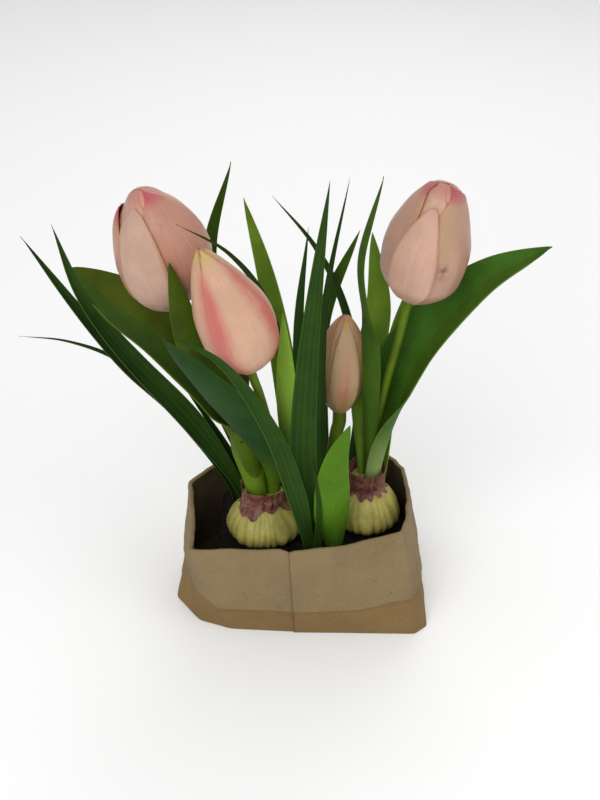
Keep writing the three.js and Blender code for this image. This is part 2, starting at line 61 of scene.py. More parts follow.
# Corners of the bag, counter-clockwise from the front left: foot, rim, and the share of the wall's height
# at which the turned-down cuff ends.
BAG = (
    ((-33, -36), (-50, -36, 46), 0.27),
    ((-4, -38), (-6, -36.5, 46), 0.27),
    ((24, -39), (20, -35, 47.5), 0.29),
    ((51, -39.5), (44, -29.5, 51), 0.36),
    ((57, -34), (47, -18, 50.5), 0.40),
    ((57.5, -5), (49, 4, 49), 0.42),
    ((55, 28), (48, 25, 47), 0.42),
    ((48, 38), (42, 38, 46.5), 0.42),
    ((24, 40), (20, 41, 46), 0.42),
    ((-8, 40), (-8, 41.5, 46), 0.42),
    ((-38, 38), (-33, 41, 46), 0.45),
    ((-56, 22), (-54, 16, 46), 0.58),
    ((-60, -13), (-51, -6, 46), 0.55),
    ((-48, -30), (-49.5, -24, 46), 0.38),
)
BLOCK = ((-34, -27), (41, -27), (44, -18), (45.5, 4), (44.5, 26), (38, 35), (-30, 35), (-37.5, 28), (-37.5, -23))

# Bulbs: axis, widest radius and its height, neck radius and its height, ribs.
BULBS = {
    "left": dict(at=(-18, -4.5), belly=17.2, belly_z=38, neck=9.3, neck_z=56, ribs=25, seed=3.0),
    "right": dict(at=(29.5, 5), belly=16, belly_z=38, neck=7.6, neck_z=58, ribs=22, seed=8.0),
}
BULB_FOOT = 23.6

LEFT_NEST = (-20.9, -5.9, 51.5)
FRONT_NEST = (-13.7, -2.7, 51.5)
RIGHT_NEST = (31.4, 4.5, 53.5)
ROOT = 18

STEMS = {
    "left": (1.95, (LEFT_NEST, (-21.4, -5.7, 62), (-25.5, -4.6, 90), (-37, -3, 116), (-49, 0, 133))),
    "front": (1.9, (FRONT_NEST, (-13.8, -2.7, 62), (-14.1, -5.5, 77), (-15.5, -13, 98), (-19, -22, 120))),
    "bud": (3.1, ((9.5, 11, ROOT), (10, 11.5, 38), (13.5, 12, 62), (15.8, 11, 80))),
    "right": (1.95, (RIGHT_NEST, (31.6, 4.6, 64), (32.8, 2.6, 85), (36, 0.6, 108), (41, 0, 133))),
}

# Petals: turn about the head's axis (-90 faces the front), half of the angle spanned, how far it stands
# out, height of its tip as a share, flare at the tip, how pointed the tip is, and twist towards the tip.
HEADS = {
    "left": dict(
        base=(-56, 2, 148), tip=(-65, -8, 204), radius=18.2, lean=(0.5, 0), bow=2.4, stretch=1.0,
        profile=((0, 0.3), (0.04, 0.42), (0.1, 0.62), (0.24, 0.93), (0.42, 1.08), (0.55, 1.06), (0.667, 0.96),
                 (0.8, 0.77), (0.895, 0.53), (0.97, 0.31), (1, 0.05)),
        petals=((-102, 31, 1.2, 0.945, 0.2, 12, -13), (-44, 60, 0.0, 1.0, 0.0, 10, 0),
                (172, 52, 0.1, 0.885, 1.1, 8, 4)),
    ),
    "front": dict(
        base=(-22, -27, 134), tip=(-35, -41, 192), radius=15.6, lean=(-3.6, -0.6), bow=2.0, stretch=1.07,
        profile=((0, 0.28), (0.04, 0.42), (0.1, 0.63), (0.18, 0.84), (0.28, 0.97), (0.38, 1.01), (0.51, 0.96),
                 (0.64, 0.80), (0.81, 0.52), (0.92, 0.29), (1, 0.05)),
        petals=((-64, 54, 0.6, 1.0, 0.0, 10, 0), (40, 64, 0.0, 0.98, 0.1, 12, 0), (-163, 62, 0.0, 1.0, 0.0, 18, 0)),
    ),
    "bud": dict(
        base=(16.5, 10, 90), tip=(17.5, 4, 142), radius=11, lean=(0.4, 0), bow=0.0, stretch=1.0,
        profile=((0, 0.3), (0.04, 0.45), (0.1, 0.64), (0.24, 0.89), (0.42, 1), (0.6, 0.95), (0.78, 0.72), (0.9, 0.45),
                 (0.97, 0.22), (1, 0.05)),
        petals=((-84, 37, 0.6, 0.985, 0.0, 6, 0), (14, 64, 0.0, 1.0, 0.0, 9, 0), (164, 66, 0.1, 0.99, 0.0, 9, 0)),
    ),
    "right": dict(
        base=(45.5, 0, 153), tip=(59, -12, 207.5), radius=18.8, lean=(-2.4, 0), bow=-0.6, stretch=1.0,
        profile=((0, 0.3), (0.04, 0.44), (0.1, 0.63), (0.21, 0.86), (0.33, 0.93), (0.45, 0.955), (0.55, 0.92),
                 (0.66, 0.81), (0.8, 0.64), (0.9, 0.48), (0.95, 0.37), (1, 0.05)),
        petals=((-112, 31, 1.2, 0.90, 0.2, 4.5, -2), (-38, 64, 0.0, 1.0, 0.3, 12, 0), (168, 60, 0.1, 0.98, 0.6, 10, 0)),
    ),
}
# Three petals inside and a closed sleeve under them: the head is shut at the top.
INNER_PETALS = ((90, 70, -0.5, 1.0, 0, 28, 0), (-150, 66, -0.8, 1.0, 0, 28, 0), (-30, 66, -1.0, 1.0, 0, 28, 0),
                (-90, 180, -1.3, 1.0, 0, 200, 0))


def leaf(route, face, width, foot, wrap, finish, thick=0.55, broad=True, ripple=0.5, fold=0.0, root_face=None,
         late_face=None, fullness=2.0):
    """One leaf: centre line from root to tip, the way its hollow side looks, flat width, width of the
    root as a share, degrees of curl at root, middle and tip, and its finish."""
    return dict(route=route, face=face, width=width, foot=foot, wrap=wrap, finish=finish, thick=thick,
                broad=broad, ripple=ripple, fold=fold, root_face=root_face or face, late_face=late_face or face,
                fullness=fullness if broad else 1.6)


def blade(route, face, width, foot=0.6, wrap=(80, 50, 40), finish="blade_dark", tuft=()):
    """One blade; a tuft has more strands, each given by how far its tip lies from the first one's."""
    made = leaf(route, face, width, foot, wrap, finish, thick=0.4, broad=False, ripple=0.15, fold=0.18)
    return {**made, "tuft": tuft}


LEAVES = {
    "left_sheath_leaf": leaf(
        (LEFT_NEST, (-21.7, -5.7, 60), (-30, -2.5, 90), (-60, 1, 132), (-80, 7, 146), (-99, 13, 160)),
        (0.6, -0.45, 0.65), 38, 0.466, (260, 95, 40), "leaf_folded", ripple=0.9, fold=0.14,
        root_face=(-0.2, 0.95, 0.3), fullness=2.9),
    "left_short_leaf": leaf(
        (LEFT_NEST, (-21.7, -6.1, 62), (-26, -9.5, 88), (-37, -15, 118), (-46, -19, 140), (-53, -25, 181)),
        (-0.2, 0.95, 0.2), 16, 0.45, (150, 90, 40), "leaf_specked", thick=0.45),
    "front_sheath_leaf": leaf(
        (FRONT_NEST, (-13.6, -3.3, 62), (-14, -15, 80), (-22, -25, 99), (-35, -32.5, 123), (-56, -38, 154)),
        (0.4, 0.88, 0.3), 23, 0.445, (220, 60, 40), "leaf_deep", ripple=0.6),
    "centre_light_leaf": leaf(
        ((3, -11, ROOT), (-1.5, -9, 62), (-6.5, -12, 102), (-8.5, -15, 153)),
        (0.2, 0.9, 0.2), 11.5, 0.5, (200, 70, 40), "leaf_lit"),
    "front_small_leaf": leaf(
        ((15, -19, ROOT), (13, -27, 64), (14, -30, 88), (19.5, -32, 109)),
        (-0.3, 0.9, 0.2), 17, 0.3, (180, 55, 50), "leaf_bright", ripple=0.7),
    "right_sheath_leaf": leaf(
        (RIGHT_NEST, (32, 4.7, 64), (37.5, 5.5, 89), (54, 2, 131), (76, -5, 163), (99, -15, 183)),
        (-0.55, -0.45, 0.7), 33, 0.506, (260, 95, 40), "leaf_pale_foot", ripple=0.9, fold=0.16,
        root_face=(-0.9, 0.1, 0.5), fullness=1.45),
    "right_tall_leaf": leaf(
        (RIGHT_NEST, (31.2, 4.2, 64), (30, -1, 96), (28, -10, 134), (22.5, -17, 176), (30.5, -23, 216)),
        (0.4, 0.9, 0.1), 8.5, 0.8, (150, 60, 60), "leaf_mid", thick=0.45, late_face=(0.93, 0.38, 0.1)),
    "right_rear_leaf": leaf(
        ((26.9, 8.4, 53.5), (26.9, 8.6, 61), (26, 13, 80), (28, 16.5, 104), (32.5, 13, 141), (28.5, 5, 180)),
        (0.2, 0.9, 0.1), 13, 0.48, (280, 70, 50), "leaf_light"),
    "rear_left_leaf": leaf(
        ((-17, 30, ROOT), (-36, 31, 100), (-41, 27, 160), (-30, 22, 204)),
        (0.3, -0.9, 0.1), 9, 0.7, (160, 70, 60), "leaf_mid"),
    "rear_centre_leaf": leaf(
        ((-4, 24, ROOT), (-8, 25, 95), (-16, 22, 150), (-25, 17, 190)),
        (0.1, -0.95, 0.1), 11, 0.6, (160, 60, 50), "leaf_light"),
    "rear_right_leaf": leaf(
        ((11, 27, ROOT), (7, 28, 90), (9, 25, 130), (24, 20, 174)),
        (-0.2, -0.9, 0.1), 9, 0.6, (160, 60, 50), "leaf_mid"),
    "behind_right_leaf": leaf(
        ((37, 26, ROOT), (39, 24, 95), (42, 22, 125), (47, 20, 150)),
        (-0.3, -0.9, 0.1), 9, 0.6, (160, 60, 50), "leaf_light"),
}
BLADES = {
    "centre_tall_blade": blade(
        ((6.5, -17.5, ROOT), (0, -25.5, 84), (1, -29, 130), (5, -29, 175), (10, -26, 216)),
        (0.1, -0.95, 0.2), 11.5, 0.3, (120, 45, 60), "blade_mid"),
    "centre_left_blade": blade(
        ((5, -3, ROOT), (0, -2, 90), (-2, -6, 143), (2, -9, 189)), (0.1, -0.95, 0.2), 7, 0.4, (120, 50, 60)),
    "centre_thin_blade": blade(
        ((9.5, -7, ROOT), (7.5, -8, 95), (9, -10, 155), (18, -15, 213)), (0.3, -0.9, 0.2), 4.5, 0.6, (90, 50, 50)),
    "front_arch_blade": blade(
        ((2.5, -21.5, ROOT), (-4, -33, 76), (-15, -41, 115), (-34, -50, 151), (-52, -49, 161)),
        (0.3, -0.8, 0.5), 9, 0.35, (100, 50, 40), "blade_mid"),
    "front_short_blade": blade(((6, -23.5, ROOT), (7, -29, 64), (3.5, -32, 92)), (0.2, -0.9, 0.2), 3, 0.9),
    "left_dark_blade": blade(
        ((-29, 20.5, ROOT), (-50, 19, 75), (-74, 11, 113), (-85.4, 3.4, 135.6), (-93.4, -6.6, 159.4),
         (-99.5, -16, 193)),
        (0.4, -0.8, 0.4), 11, 0.3, (120, 60, 60), "blade_mid"),
    "far_left_blade": blade(
        ((-33.5, 23.5, ROOT), (-56, 20, 81), (-79, 17, 109), (-94, 12, 134), (-116, 0, 180.5)),
        (0.5, -0.7, 0.4), 9, 0.35, (120, 60, 60)),
    "low_left_blade": blade(
        ((-30.5, 29, ROOT), (-57, 29, 72), (-83, 24, 107), (-105, 18, 121), (-125, 12, 127)),
        (0.3, -0.5, 0.8), 3.6, 0.8, (80, 40, 40)),
    "crossing_left_blade": blade(
        ((1, 13, ROOT), (-7, 10, 96), (-15, -3, 150), (-30, -17, 181), (-49, -29, 199)), (0.6, -0.7, 0.4), 5),
    "crossing_right_blade": blade(
        ((21, 25, ROOT), (26, 23, 90), (18, 21, 137), (5, 14, 169), (-13, 6, 196)), (0.3, -0.8, 0.4), 5),
    "back_left_blade": blade(((-24.5, 29, ROOT), (-38, 29, 72), (-50, 28, 100)), (0.4, -0.8, 0.4), 4.2, 0.8,
                             tuft=((-5, -3, -7), (5, 2, 3))),
    "back_inner_blade": blade(((-19.5, 22, ROOT), (-27, 24, 74), (-36, 23, 110)), (0.4, -0.8, 0.3), 4.2, 0.8,
                              tuft=((-6, -2, -6), (4, 3, -9))),
}


# ------------------------------------------------------------------ settings
def colour(name, text, value):
    return bpy.props.FloatVectorProperty(
        name=name, description=text, default=value, subtype="COLOR", size=3, min=0, max=1)


def length(name, text, value):
    return bpy.props.FloatProperty(name=name, description=text, default=value, unit="LENGTH", min=0)


class PaperSettings(bpy.types.PropertyGroup):
    thickness: length("Paper thickness", "Thickness of one ply of the bag", 0.00045)
    stand_off: length("Cuff stand-off", "Air between the wall and the turned-down cuff", 0.0010)
    crumple: length("Crumple", "How far creases push the paper in and out", 0.0011)
    outside: colour("Outside", "Brown side of the kraft paper", (0.190, 0.120, 0.047))
    inside: colour("Inside", "Greyer side, shown by the cuff", (0.208, 0.150, 0.074))


class PlantSettings(bpy.types.PropertyGroup):
    petal: colour("Petal", "Body colour of the large heads", (0.45, 0.275, 0.195))
    flush: colour("Flush", "Pink flush and streaks", (0.42, 0.115, 0.085))
    leaf: colour("Leaf", "Body colour of the broad leaves", (0.036, 0.074, 0.006))
    bulb: colour("Bulb", "Cream skin of the bulbs", (0.40, 0.345, 0.072))
    petal_thickness: length("Petal thickness", "Thickness of a petal", 0.0006)


class StageSettings(bpy.types.PropertyGroup):
    floor: colour("Floor", "Colour of the plain floor", (0.93, 0.93, 0.93))
    key: bpy.props.FloatProperty(name="Key light", description="Power of the main light", default=5.2, unit="POWER")


# ------------------------------------------------------------------ shaping helpers
def lerp(a, b, t):
    return a + (b - a) * t


def ease(t):
    t = min(1.0, max(0.0, t))
    return t * t * (3 - 2 * t)


def along(stops, t):
    """Smooth reading of a table of (place, value) pairs."""
    k = 0
    while k + 2 < len(stops) and stops[k + 1][0] < t:
        k += 1
    (t0, a), (t1, b) = stops[k], stops[k + 1]

    def slope(n):
        if n <= 0 or n >= len(stops) - 1:
            m = min(max(n, 0), len(stops) - 2)
            return (stops[m + 1][1] - stops[m][1]) / (stops[m + 1][0] - stops[m][0])
        return (stops[n + 1][1] - stops[n - 1][1]) / (stops[n + 1][0] - stops[n - 1][0])

    h = t1 - t0
    s = min(1.0, max(0.0, (t - t0) / h))
    s2, s3 = s * s, s * s * s
    return ((2 * s3 - 3 * s2 + 1) * a + (s3 - 2 * s2 + s) * h * slope(k)
            + (3 * s2 - 2 * s3) * b + (s3 - s2) * h * slope(k + 1))


def ripple(p, scale, seed=0.0):
    return noise.noise(Vector((p[0], p[1], p[2])) * scale + Vector((seed, -seed, seed * 0.5)))


class Route:
    """A smooth line through points, read by its share of length."""

    def __init__(self, points, steps=40):
        knots = [Vector(p) for p in points]
        knots = [knots[0] * 2 - knots[1], *knots, knots[-1] * 2 - knots[-2]]
        self.line = []
        for k in range(1, len(knots) - 2):
            self.line += [self.between(knots[k - 1:k + 3], n / steps) for n in range(steps)]
        self.line.append(knots[-2])
        self.reach = [0.0]
        for a, b in zip(self.line, self.line[1:]):
            self.reach.append(self.reach[-1] + (b - a).length)

    @staticmethod
    def between(knots, w):
        p0, p1, p2, p3 = knots
        d0, d1, d2 = ((b - a).length ** 0.5 or 1e-4 for a, b in zip(knots, knots[1:]))
        m1 = ((p1 - p0) / d0 - (p2 - p0) / (d0 + d1) + (p2 - p1) / d1) * d1
        m2 = ((p2 - p1) / d1 - (p3 - p1) / (d1 + d2) + (p3 - p2) / d2) * d1
        return p1 + m1 * w + (p2 * 3 - p1 * 3 - m1 * 2 - m2) * w * w + (p1 * 2 - p2 * 2 + m1 + m2) * w ** 3

    def point(self, share):
        goal = min(1.0, max(0.0, share)) * self.reach[-1]
        low, high = 0, len(self.reach) - 1
        while high - low > 1:
            mid = (low + high) // 2
            low, high = (mid, high) if self.reach[mid] <= goal else (low, mid)
        step = self.reach[high] - self.reach[low]
        return self.line[low].lerp(self.line[high], (goal - self.reach[low]) / step if step else 0)

    def tangent(self, share):
        return (self.point(share + 0.006) - self.point(share - 0.006)).normalized()


def start_clean():
    if bpy.context.object and bpy.context.object.mode != "OBJECT":
        bpy.ops.object.mode_set(mode="OBJECT")
    bpy.ops.object.select_all(action="DESELECT")


def shaped_grid(name, columns, rows, place):
    """A grid of columns by rows faces, each point put where place(u, v) says, in millimetres."""
    start_clean()
    bpy.ops.mesh.primitive_grid_add(x_subdivisions=columns, y_subdivisions=rows, size=1)
    obj = bpy.context.object
    obj.name = obj.data.name = name
    for vertex in obj.data.vertices:
        u = round((vertex.co.x + 0.5) * columns) / columns
        v = round((vertex.co.y + 0.5) * rows) / rows
        vertex.co = Vector(place(u, v)) * MM
    bpy.ops.object.mode_set(mode="EDIT")
    bpy.ops.mesh.select_all(action="SELECT")
    bpy.ops.mesh.remove_doubles(threshold=2e-6)
    bpy.ops.object.mode_set(mode="OBJECT")
    return obj


def apply_modifier(obj, kind, **settings):
    bpy.context.view_layer.objects.active = obj
    modifier = obj.modifiers.new(kind.lower(), kind)
    for key, value in settings.items():
        setattr(modifier, key, value)
    bpy.ops.object.modifier_apply(modifier=modifier.name)


def thicken(obj, thickness, two_sided=False):
    """Gives a sheet its thickness behind its outer face; when two_sided is set, the back takes the second material."""
    extra = dict(material_offset=1, material_offset_rim=1) if two_sided else {}
    apply_modifier(obj, "SOLIDIFY", thickness=thickness, offset=-1, use_even_offset=True, thickness_clamp=0.8, **extra)


def smooth(obj, degrees=40):
    start_clean()
    obj.select_set(True)
    bpy.context.view_layer.objects.active = obj
    bpy.ops.object.shade_smooth_by_angle(angle=math.radians(degrees))


def join(name, parts):
    start_clean()
    for part in parts:
        part.select_set(True)
    bpy.context.view_layer.objects.active = parts[0]
    bpy.ops.object.join()
    parts[0].name = parts[0].data.name = name
    return parts[0]


def dress(obj, *finishes):
    for finish in finishes:
        obj.data.materials.append(finish)


def settle(obj, body, slot, *nodes):
    """Ties a finished piece to its body and hides the frame's solids it stands for; the slot argument is not used."""
    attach(obj, body)
    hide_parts(*nodes)


# ------------------------------------------------------------------ finishes
class Finish:
    """A procedural material, built node by node."""

    def __init__(self, name, roughness, **values):
        self.material = bpy.data.materials.new(name)
        self.material.use_nodes = True
        self.tree = self.material.node_tree
        self.shader = self.tree.nodes["Principled BSDF"]
        self.shader.inputs["Roughness"].default_value = roughness
        for key, value in values.items():
            self.shader.inputs[key.replace("_", " ").title().replace("Ior", "IOR")].default_value = value

    def feed(self, socket, value):
        if isinstance(value, bpy.types.NodeSocket):
            self.tree.links.new(value, socket)
        elif isinstance(value, (tuple, list)) and len(value) == 3 and socket.type == "RGBA":
            socket.default_value = (*value, 1)
        else:
            socket.default_value = value

    def node(self, kind, inputs=(), **settings):
        made = self.tree.nodes.new("ShaderNode" + kind)
        for key, value in settings.items():
            setattr(made, key, value)
        for key, value in dict(inputs).items():
            self.feed(made.inputs[key], value)
        return made

    def place(self, which="Object"):
        return self.node("TexCoord").outputs[which]

    def scaled(self, vector, scale, shift=(0, 0, 0)):
        return self.node("Mapping", {"Vector": vector, "Scale": scale, "Location": shift}).outputs[0]

    def speckle(self, vector, scale, detail=4.0, rough=0.55, warp=0.0):
        return self.node("TexNoise", {"Vector": vector, "Scale": scale, "Detail": detail, "Roughness": rough,
                                      "Distortion": warp}).outputs["Fac"]

    def axis(self, vector, which):
        return self.node("SeparateXYZ", {"Vector": vector}).outputs[which]

    def maths(self, operation, a, b=0.0, clamp=False):
        return self.node("Math", {0: a, 1: b}, operation=operation, use_clamp=clamp).outputs[0]

    def times(self, a, b, clamp=False):
        return self.maths("MULTIPLY", a, b, clamp)

    def plus(self, a, b):
        return self.maths("ADD", a, b)

    def apart(self, a, b):
        """How far two values lie from each other."""
        return self.maths("ABSOLUTE", self.maths("SUBTRACT", a, b))

    def fade(self, value, low, high):
        """0 at low, 1 at high, eased between."""
        return self.node("MapRange", {"Value": value, "From Min": low, "From Max": high},
                         interpolation_type="SMOOTHSTEP").outputs[0]

    def blend(self, amount, a, b, mode="MIX"):
        made = self.node("Mix", data_type="RGBA", blend_type=mode)
        self.feed(made.inputs[0], amount)
        self.feed(made.inputs[6], a)
        self.feed(made.inputs[7], b)
        return made.outputs[2]

    def over(self, body, mask, strength, tone, clamp=False):
        """The body with a tone laid over it where the mask says."""
        return self.blend(self.times(mask, strength, clamp), body, tone)

    def bump(self, height, distance, strength=1.0, over=None):
        made = self.node("Bump", {"Height": height, "Distance": distance, "Strength": strength})
        if over is not None:
            self.feed(made.inputs["Normal"], over)
        return made.outputs[0]

    def done(self, colour_socket, normal=None, roughness=None):
        self.feed(self.shader.inputs["Base Color"], colour_socket)
        if normal is not None:
            self.feed(self.shader.inputs["Normal"], normal)
        if roughness is not None:
            self.feed(self.shader.inputs["Roughness"], roughness)
        return self.material


def tint(base, factor, shift=(0, 0, 0)):
    return tuple(min(1.0, max(0.0, c * factor + s)) for c, s in zip(base, shift))


def kraft_finish(name, base, seam):
    f = Finish(name, 0.82, specular_ior_level=0.25)
    at = f.place()
    beside = f.apart(f.axis(f.place("UV"), 0), seam)
    fibres = f.speckle(f.scaled(at, (260, 260, 900)), 3.0, 5, 0.7)
    cross = f.speckle(f.scaled(at, (900, 900, 240)), 2.6, 4, 0.65)
    blotch = f.speckle(at, 38, 4, 0.6, 0.4)
    wide = f.speckle(at, 11, 2, 0.5)
    specks = f.fade(f.speckle(at, 620, 2, 0.5), 0.67, 0.76)
    body = f.blend(f.fade(blotch, 0.3, 0.72), tint(base, 0.86), tint(base, 1.12))
    body = f.over(body, f.fade(wide, 0.42, 0.7), 0.35, tint(base, 0.82, (0.01, 0.005, 0)))
    body = f.over(body, f.fade(fibres, 0.42, 0.62), 0.28, tint(base, 1.35))
    body = f.over(body, f.fade(cross, 0.5, 0.66), 0.22, tint(base, 0.62))
    body = f.over(body, specks, 0.6, tint(base, 0.38))
    body = f.over(body, f.fade(beside, 0.0014, 0.0004), 0.55, tint(base, 0.25))
    grain = f.bump(fibres, 0.00010, 0.6)
    creases = f.bump(f.speckle(at, 70, 5, 0.62, 1.2), 0.0007, 0.55, over=grain)
    return f.done(body, creases)


def petal_finish(name, base, flush, tip, foot, edge, flush_middle=0.0, flush_edge=0.0, streaks=0.5,
                 spotted_tip=0.6, wash=0.0, wash_colour=(0.4, 0.4, 0.05), gloss=0.32, tan=None, bruise=None):
    f = Finish(name, gloss, specular_ior_level=0.45)
    uv = f.place("UV")
    u, v = f.axis(uv, 0), f.axis(uv, 1)
    off = f.apart(f.times(u, 2.0), 1.0)
    at = f.place()
    wander = f.speckle(at, 55, 3, 0.5)
    fine = f.speckle(f.scaled(uv, (55, 2.6, 1), (wander_shift(name), 0, 0)), 3.2, 5, 0.62, 0.5)
    veins = f.speckle(f.scaled(uv, (20, 1.1, 1)), 2.4, 3, 0.5, 0.6)
    body = f.blend(f.fade(f.speckle(at, 90, 4, 0.6), 0.3, 0.72), tint(base, 0.93), tint(base, 1.06))
    body = f.over(body, f.fade(veins, 0.42, 0.66), 0.45 * streaks, lighter(flush, base, 0.45))
    body = f.over(body, f.fade(fine, 0.47, 0.66), 0.75 * streaks, lighter(flush, base, 0.3), True)
    uneven = f.plus(f.times(wander, 0.5), f.times(fine, 0.5))
    if flush_middle:
        band = f.times(f.fade(off, 0.62, 0.05), f.fade(v, 0.02, 0.22))
        band = f.times(band, f.fade(v, 0.92, 0.35))
        band = f.times(band, f.fade(uneven, 0.3, 0.62))
        body = f.over(body, band, flush_middle, flush, True)
    if flush_edge:
        band = f.times(f.fade(off, 0.30, 0.90), f.fade(v, 0.02, 0.2))
        band = f.times(band, f.fade(v, 0.97, 0.72))
        band = f.times(band, f.fade(uneven, 0.25, 0.6))
        body = f.over(body, band, flush_edge, flush, True)
    if wash:
        patch = f.times(f.fade(v, 0.55, 0.05), f.fade(uneven, 0.4, 0.66))
        body = f.over(body, patch, wash, wash_colour, True)
    if tan is not None:
        # A tan streak running down from the tip at this share of the width.
        band = f.times(f.fade(f.apart(u, tan), 0.13, 0.03),
                       f.fade(v, 0.42, 0.66))
        body = f.over(body, band, f.fade(uneven, 0.2, 0.75), (0.36, 0.265, 0.125))
    if bruise is not None:
        # A brown bruise round one spot.
        near = f.times(f.fade(f.apart(u, bruise[0]), 0.10, 0.0),
                       f.fade(f.apart(v, bruise[1]), 0.10, 0.0))
        near = f.times(near, f.fade(f.speckle(at, 260, 4, 0.6), 0.3, 0.62))
        body = f.over(body, near, 0.85, (0.085, 0.040, 0.028), True)
    # Colour along the petal edges: painted shade and glow of the gaps between petals.
    rim = f.times(f.fade(off, 0.84, 0.975), f.fade(uneven, 0.2, 0.55))
    body = f.over(body, rim, 0.85, edge, True)
    peak = f.times(f.fade(f.plus(v, f.times(uneven, 0.06)), 0.93, 1.02), spotted_tip)
    body = f.blend(peak, body, tip)
    heel = f.fade(f.plus(v, f.times(fine, 0.05)), 0.10, 0.03)
    body = f.over(body, heel, 0.85, foot)
    dirt = f.fade(f.speckle(at, 420, 2, 0.5), 0.69, 0.75)
    body = f.over(body, dirt, 0.35, tint(base, 0.35))
    ridges = f.bump(fine, 0.00022, 0.55)
    swell = f.bump(veins, 0.0006, 0.35, over=ridges)
    return f.done(body, swell)


def wander_shift(name):
    return sum(ord(c) for c in name) % 17


def lighter(a, b, share):
    return tuple(lerp(x, y, share) for x, y in zip(a, b))


def leaf_finish(name, base, foot=None, foot_reach=0.14, veins=26, specks=0.0, edge=1.25, mottle=0.5, gloss=0.58,
                smudge=0.0, lower=None):
    f = Finish(name, gloss, specular_ior_level=0.08)
    uv = f.place("UV")
    u, v = f.axis(uv, 0), f.axis(uv, 1)
    off = f.apart(f.times(u, 2.0), 1.0)
    at = f.place()
    bend = f.times(f.speckle(f.scaled(uv, (2, 1.2, 1)), 2.0, 2), 0.05)
    lines = f.maths("SINE", f.times(f.plus(u, bend), veins * math.tau))
    lines = f.maths("MULTIPLY_ADD", lines, 0.5)
    f.tree.nodes[-1].inputs[2].default_value = 0.5
    fine = f.speckle(f.scaled(uv, (120, 3.5, 1)), 2.2, 4, 0.6)
    cloud = f.speckle(at, 48, 4, 0.6, 0.3)
    clouds = f.fade(cloud, 0.28, 0.72)
    body = f.blend(clouds, tint(base, 1 - 0.42 * mottle), tint(base, 1 + 0.4 * mottle, (0.006, 0.006, 0)))
    if lower is not None:
        # The leaf is folded along its middle and the two halves differ.
        other = f.blend(clouds, tint(lower, 1 - 0.42 * mottle), tint(lower, 1 + 0.4 * mottle))
        body = f.blend(f.fade(f.plus(u, bend), 0.53, 0.50), body, other)
    body = f.over(body, f.fade(lines, 0.35, 0.95), 0.30, tint(base, 1.45, (0.01, 0.012, 0.004)))
    body = f.over(body, f.fade(fine, 0.48, 0.68), 0.30, tint(base, 0.6))
    # Lighter along the midrib: partly the rib's own paler green, partly painted highlight.
    middle = f.times(f.fade(off, 0.06, 0.0), f.fade(v, 1.0, 0.1))
    body = f.over(body, middle, 0.35, tint(base, 1.5, (0.012, 0.016, 0.004)))
    body = f.over(body, f.fade(off, 0.93, 1.0), 0.6, tint(base, edge * 1.3, (0.02, 0.02, 0.004)))
    if foot:
        heel = f.fade(f.plus(v, f.times(fine, 0.08)), foot_reach * 2.0, foot_reach * 0.4)
        body = f.over(body, heel, 0.92, foot)
    if specks:
        spots = f.fade(f.speckle(at, 260, 3, 0.6), 0.64, 0.72)
        body = f.over(body, spots, specks, tint(base, 0.2))
    if smudge:
        stain = f.fade(f.speckle(at, 120, 4, 0.7, 0.6), 0.60, 0.74)
        body = f.over(body, stain, smudge, (0.008, 0.010, 0.006))
    ribs = f.bump(lines, 0.00016, 0.5)
    skin = f.bump(fine, 0.00010, 0.5, over=ribs)
    waves = f.bump(f.speckle(at, 65, 3, 0.5), 0.0009, 0.30, over=skin)
    return f.done(body, waves)


def stem_finish(name, base):
    f = Finish(name, 0.45, specular_ior_level=0.2)
    at = f.place()
    uv = f.place("UV")
    fine = f.speckle(f.scaled(uv, (14, 3, 1)), 4.0, 4, 0.6)
    cloud = f.speckle(at, 60, 4, 0.6)
    body = f.blend(f.fade(cloud, 0.3, 0.7), tint(base, 0.78), tint(base, 1.2, (0.01, 0.01, 0)))
    body = f.over(body, f.fade(fine, 0.45, 0.7), 0.4, tint(base, 1.5))
    return f.done(body, f.bump(fine, 0.00015, 0.5))


def bulb_finish(name, base):
    f = Finish(name, 0.5, specular_ior_level=0.4)
    at = f.place()
    uv = f.place("UV")
    v = f.axis(uv, 1)
    groove = f.node("Attribute", attribute_name="groove").outputs["Fac"]
    streak = f.speckle(f.scaled(uv, (60, 3.0, 1)), 2.5, 5, 0.65, 0.4)
    patch = f.speckle(at, 130, 5, 0.65, 0.5)
    grain = f.speckle(at, 520, 3, 0.6)
    green = (0.155, 0.140, 0.016)
    body = f.blend(f.fade(patch, 0.32, 0.66), tint(base, 0.72, (0, 0.01, 0)), tint(base, 1.1, (0.01, 0.01, 0.015)))
    body = f.over(body, f.fade(streak, 0.40, 0.66), 0.55, tint(base, 1.15, (0.03, 0.03, 0.04)))
    body = f.over(body, groove, 0.5, green, True)
    low = f.times(f.fade(v, 0.44, 0.30), f.fade(patch, 0.30, 0.62))
    body = f.over(body, low, 0.75, tint(green, 0.8))
    body = f.over(body, f.fade(grain, 0.60, 0.70), 0.30, tint(green, 0.6))
    skin = f.bump(streak, 0.00035, 0.6)
    return f.done(body, f.bump(patch, 0.0006, 0.5, over=skin))


def husk_finish(name):
    f = Finish(name, 0.5, specular_ior_level=0.4)
    at = f.place()
    uv = f.place("UV")
    ridges = f.speckle(f.scaled(uv, (42, 2.4, 1)), 2.2, 5, 0.65, 0.8)
    cloud = f.speckle(at, 150, 4, 0.6, 0.6)
    body = f.blend(f.fade(ridges, 0.34, 0.66), (0.050, 0.014, 0.014), (0.22, 0.060, 0.048))
    body = f.over(body, f.fade(cloud, 0.44, 0.64), 0.8, (0.26, 0.13, 0.072))
    body = f.over(body, f.fade(f.speckle(at, 420, 3, 0.6), 0.58, 0.7), 0.6, (0.016, 0.006, 0.006))
    return f.done(body, f.bump(ridges, 0.0006, 0.7))


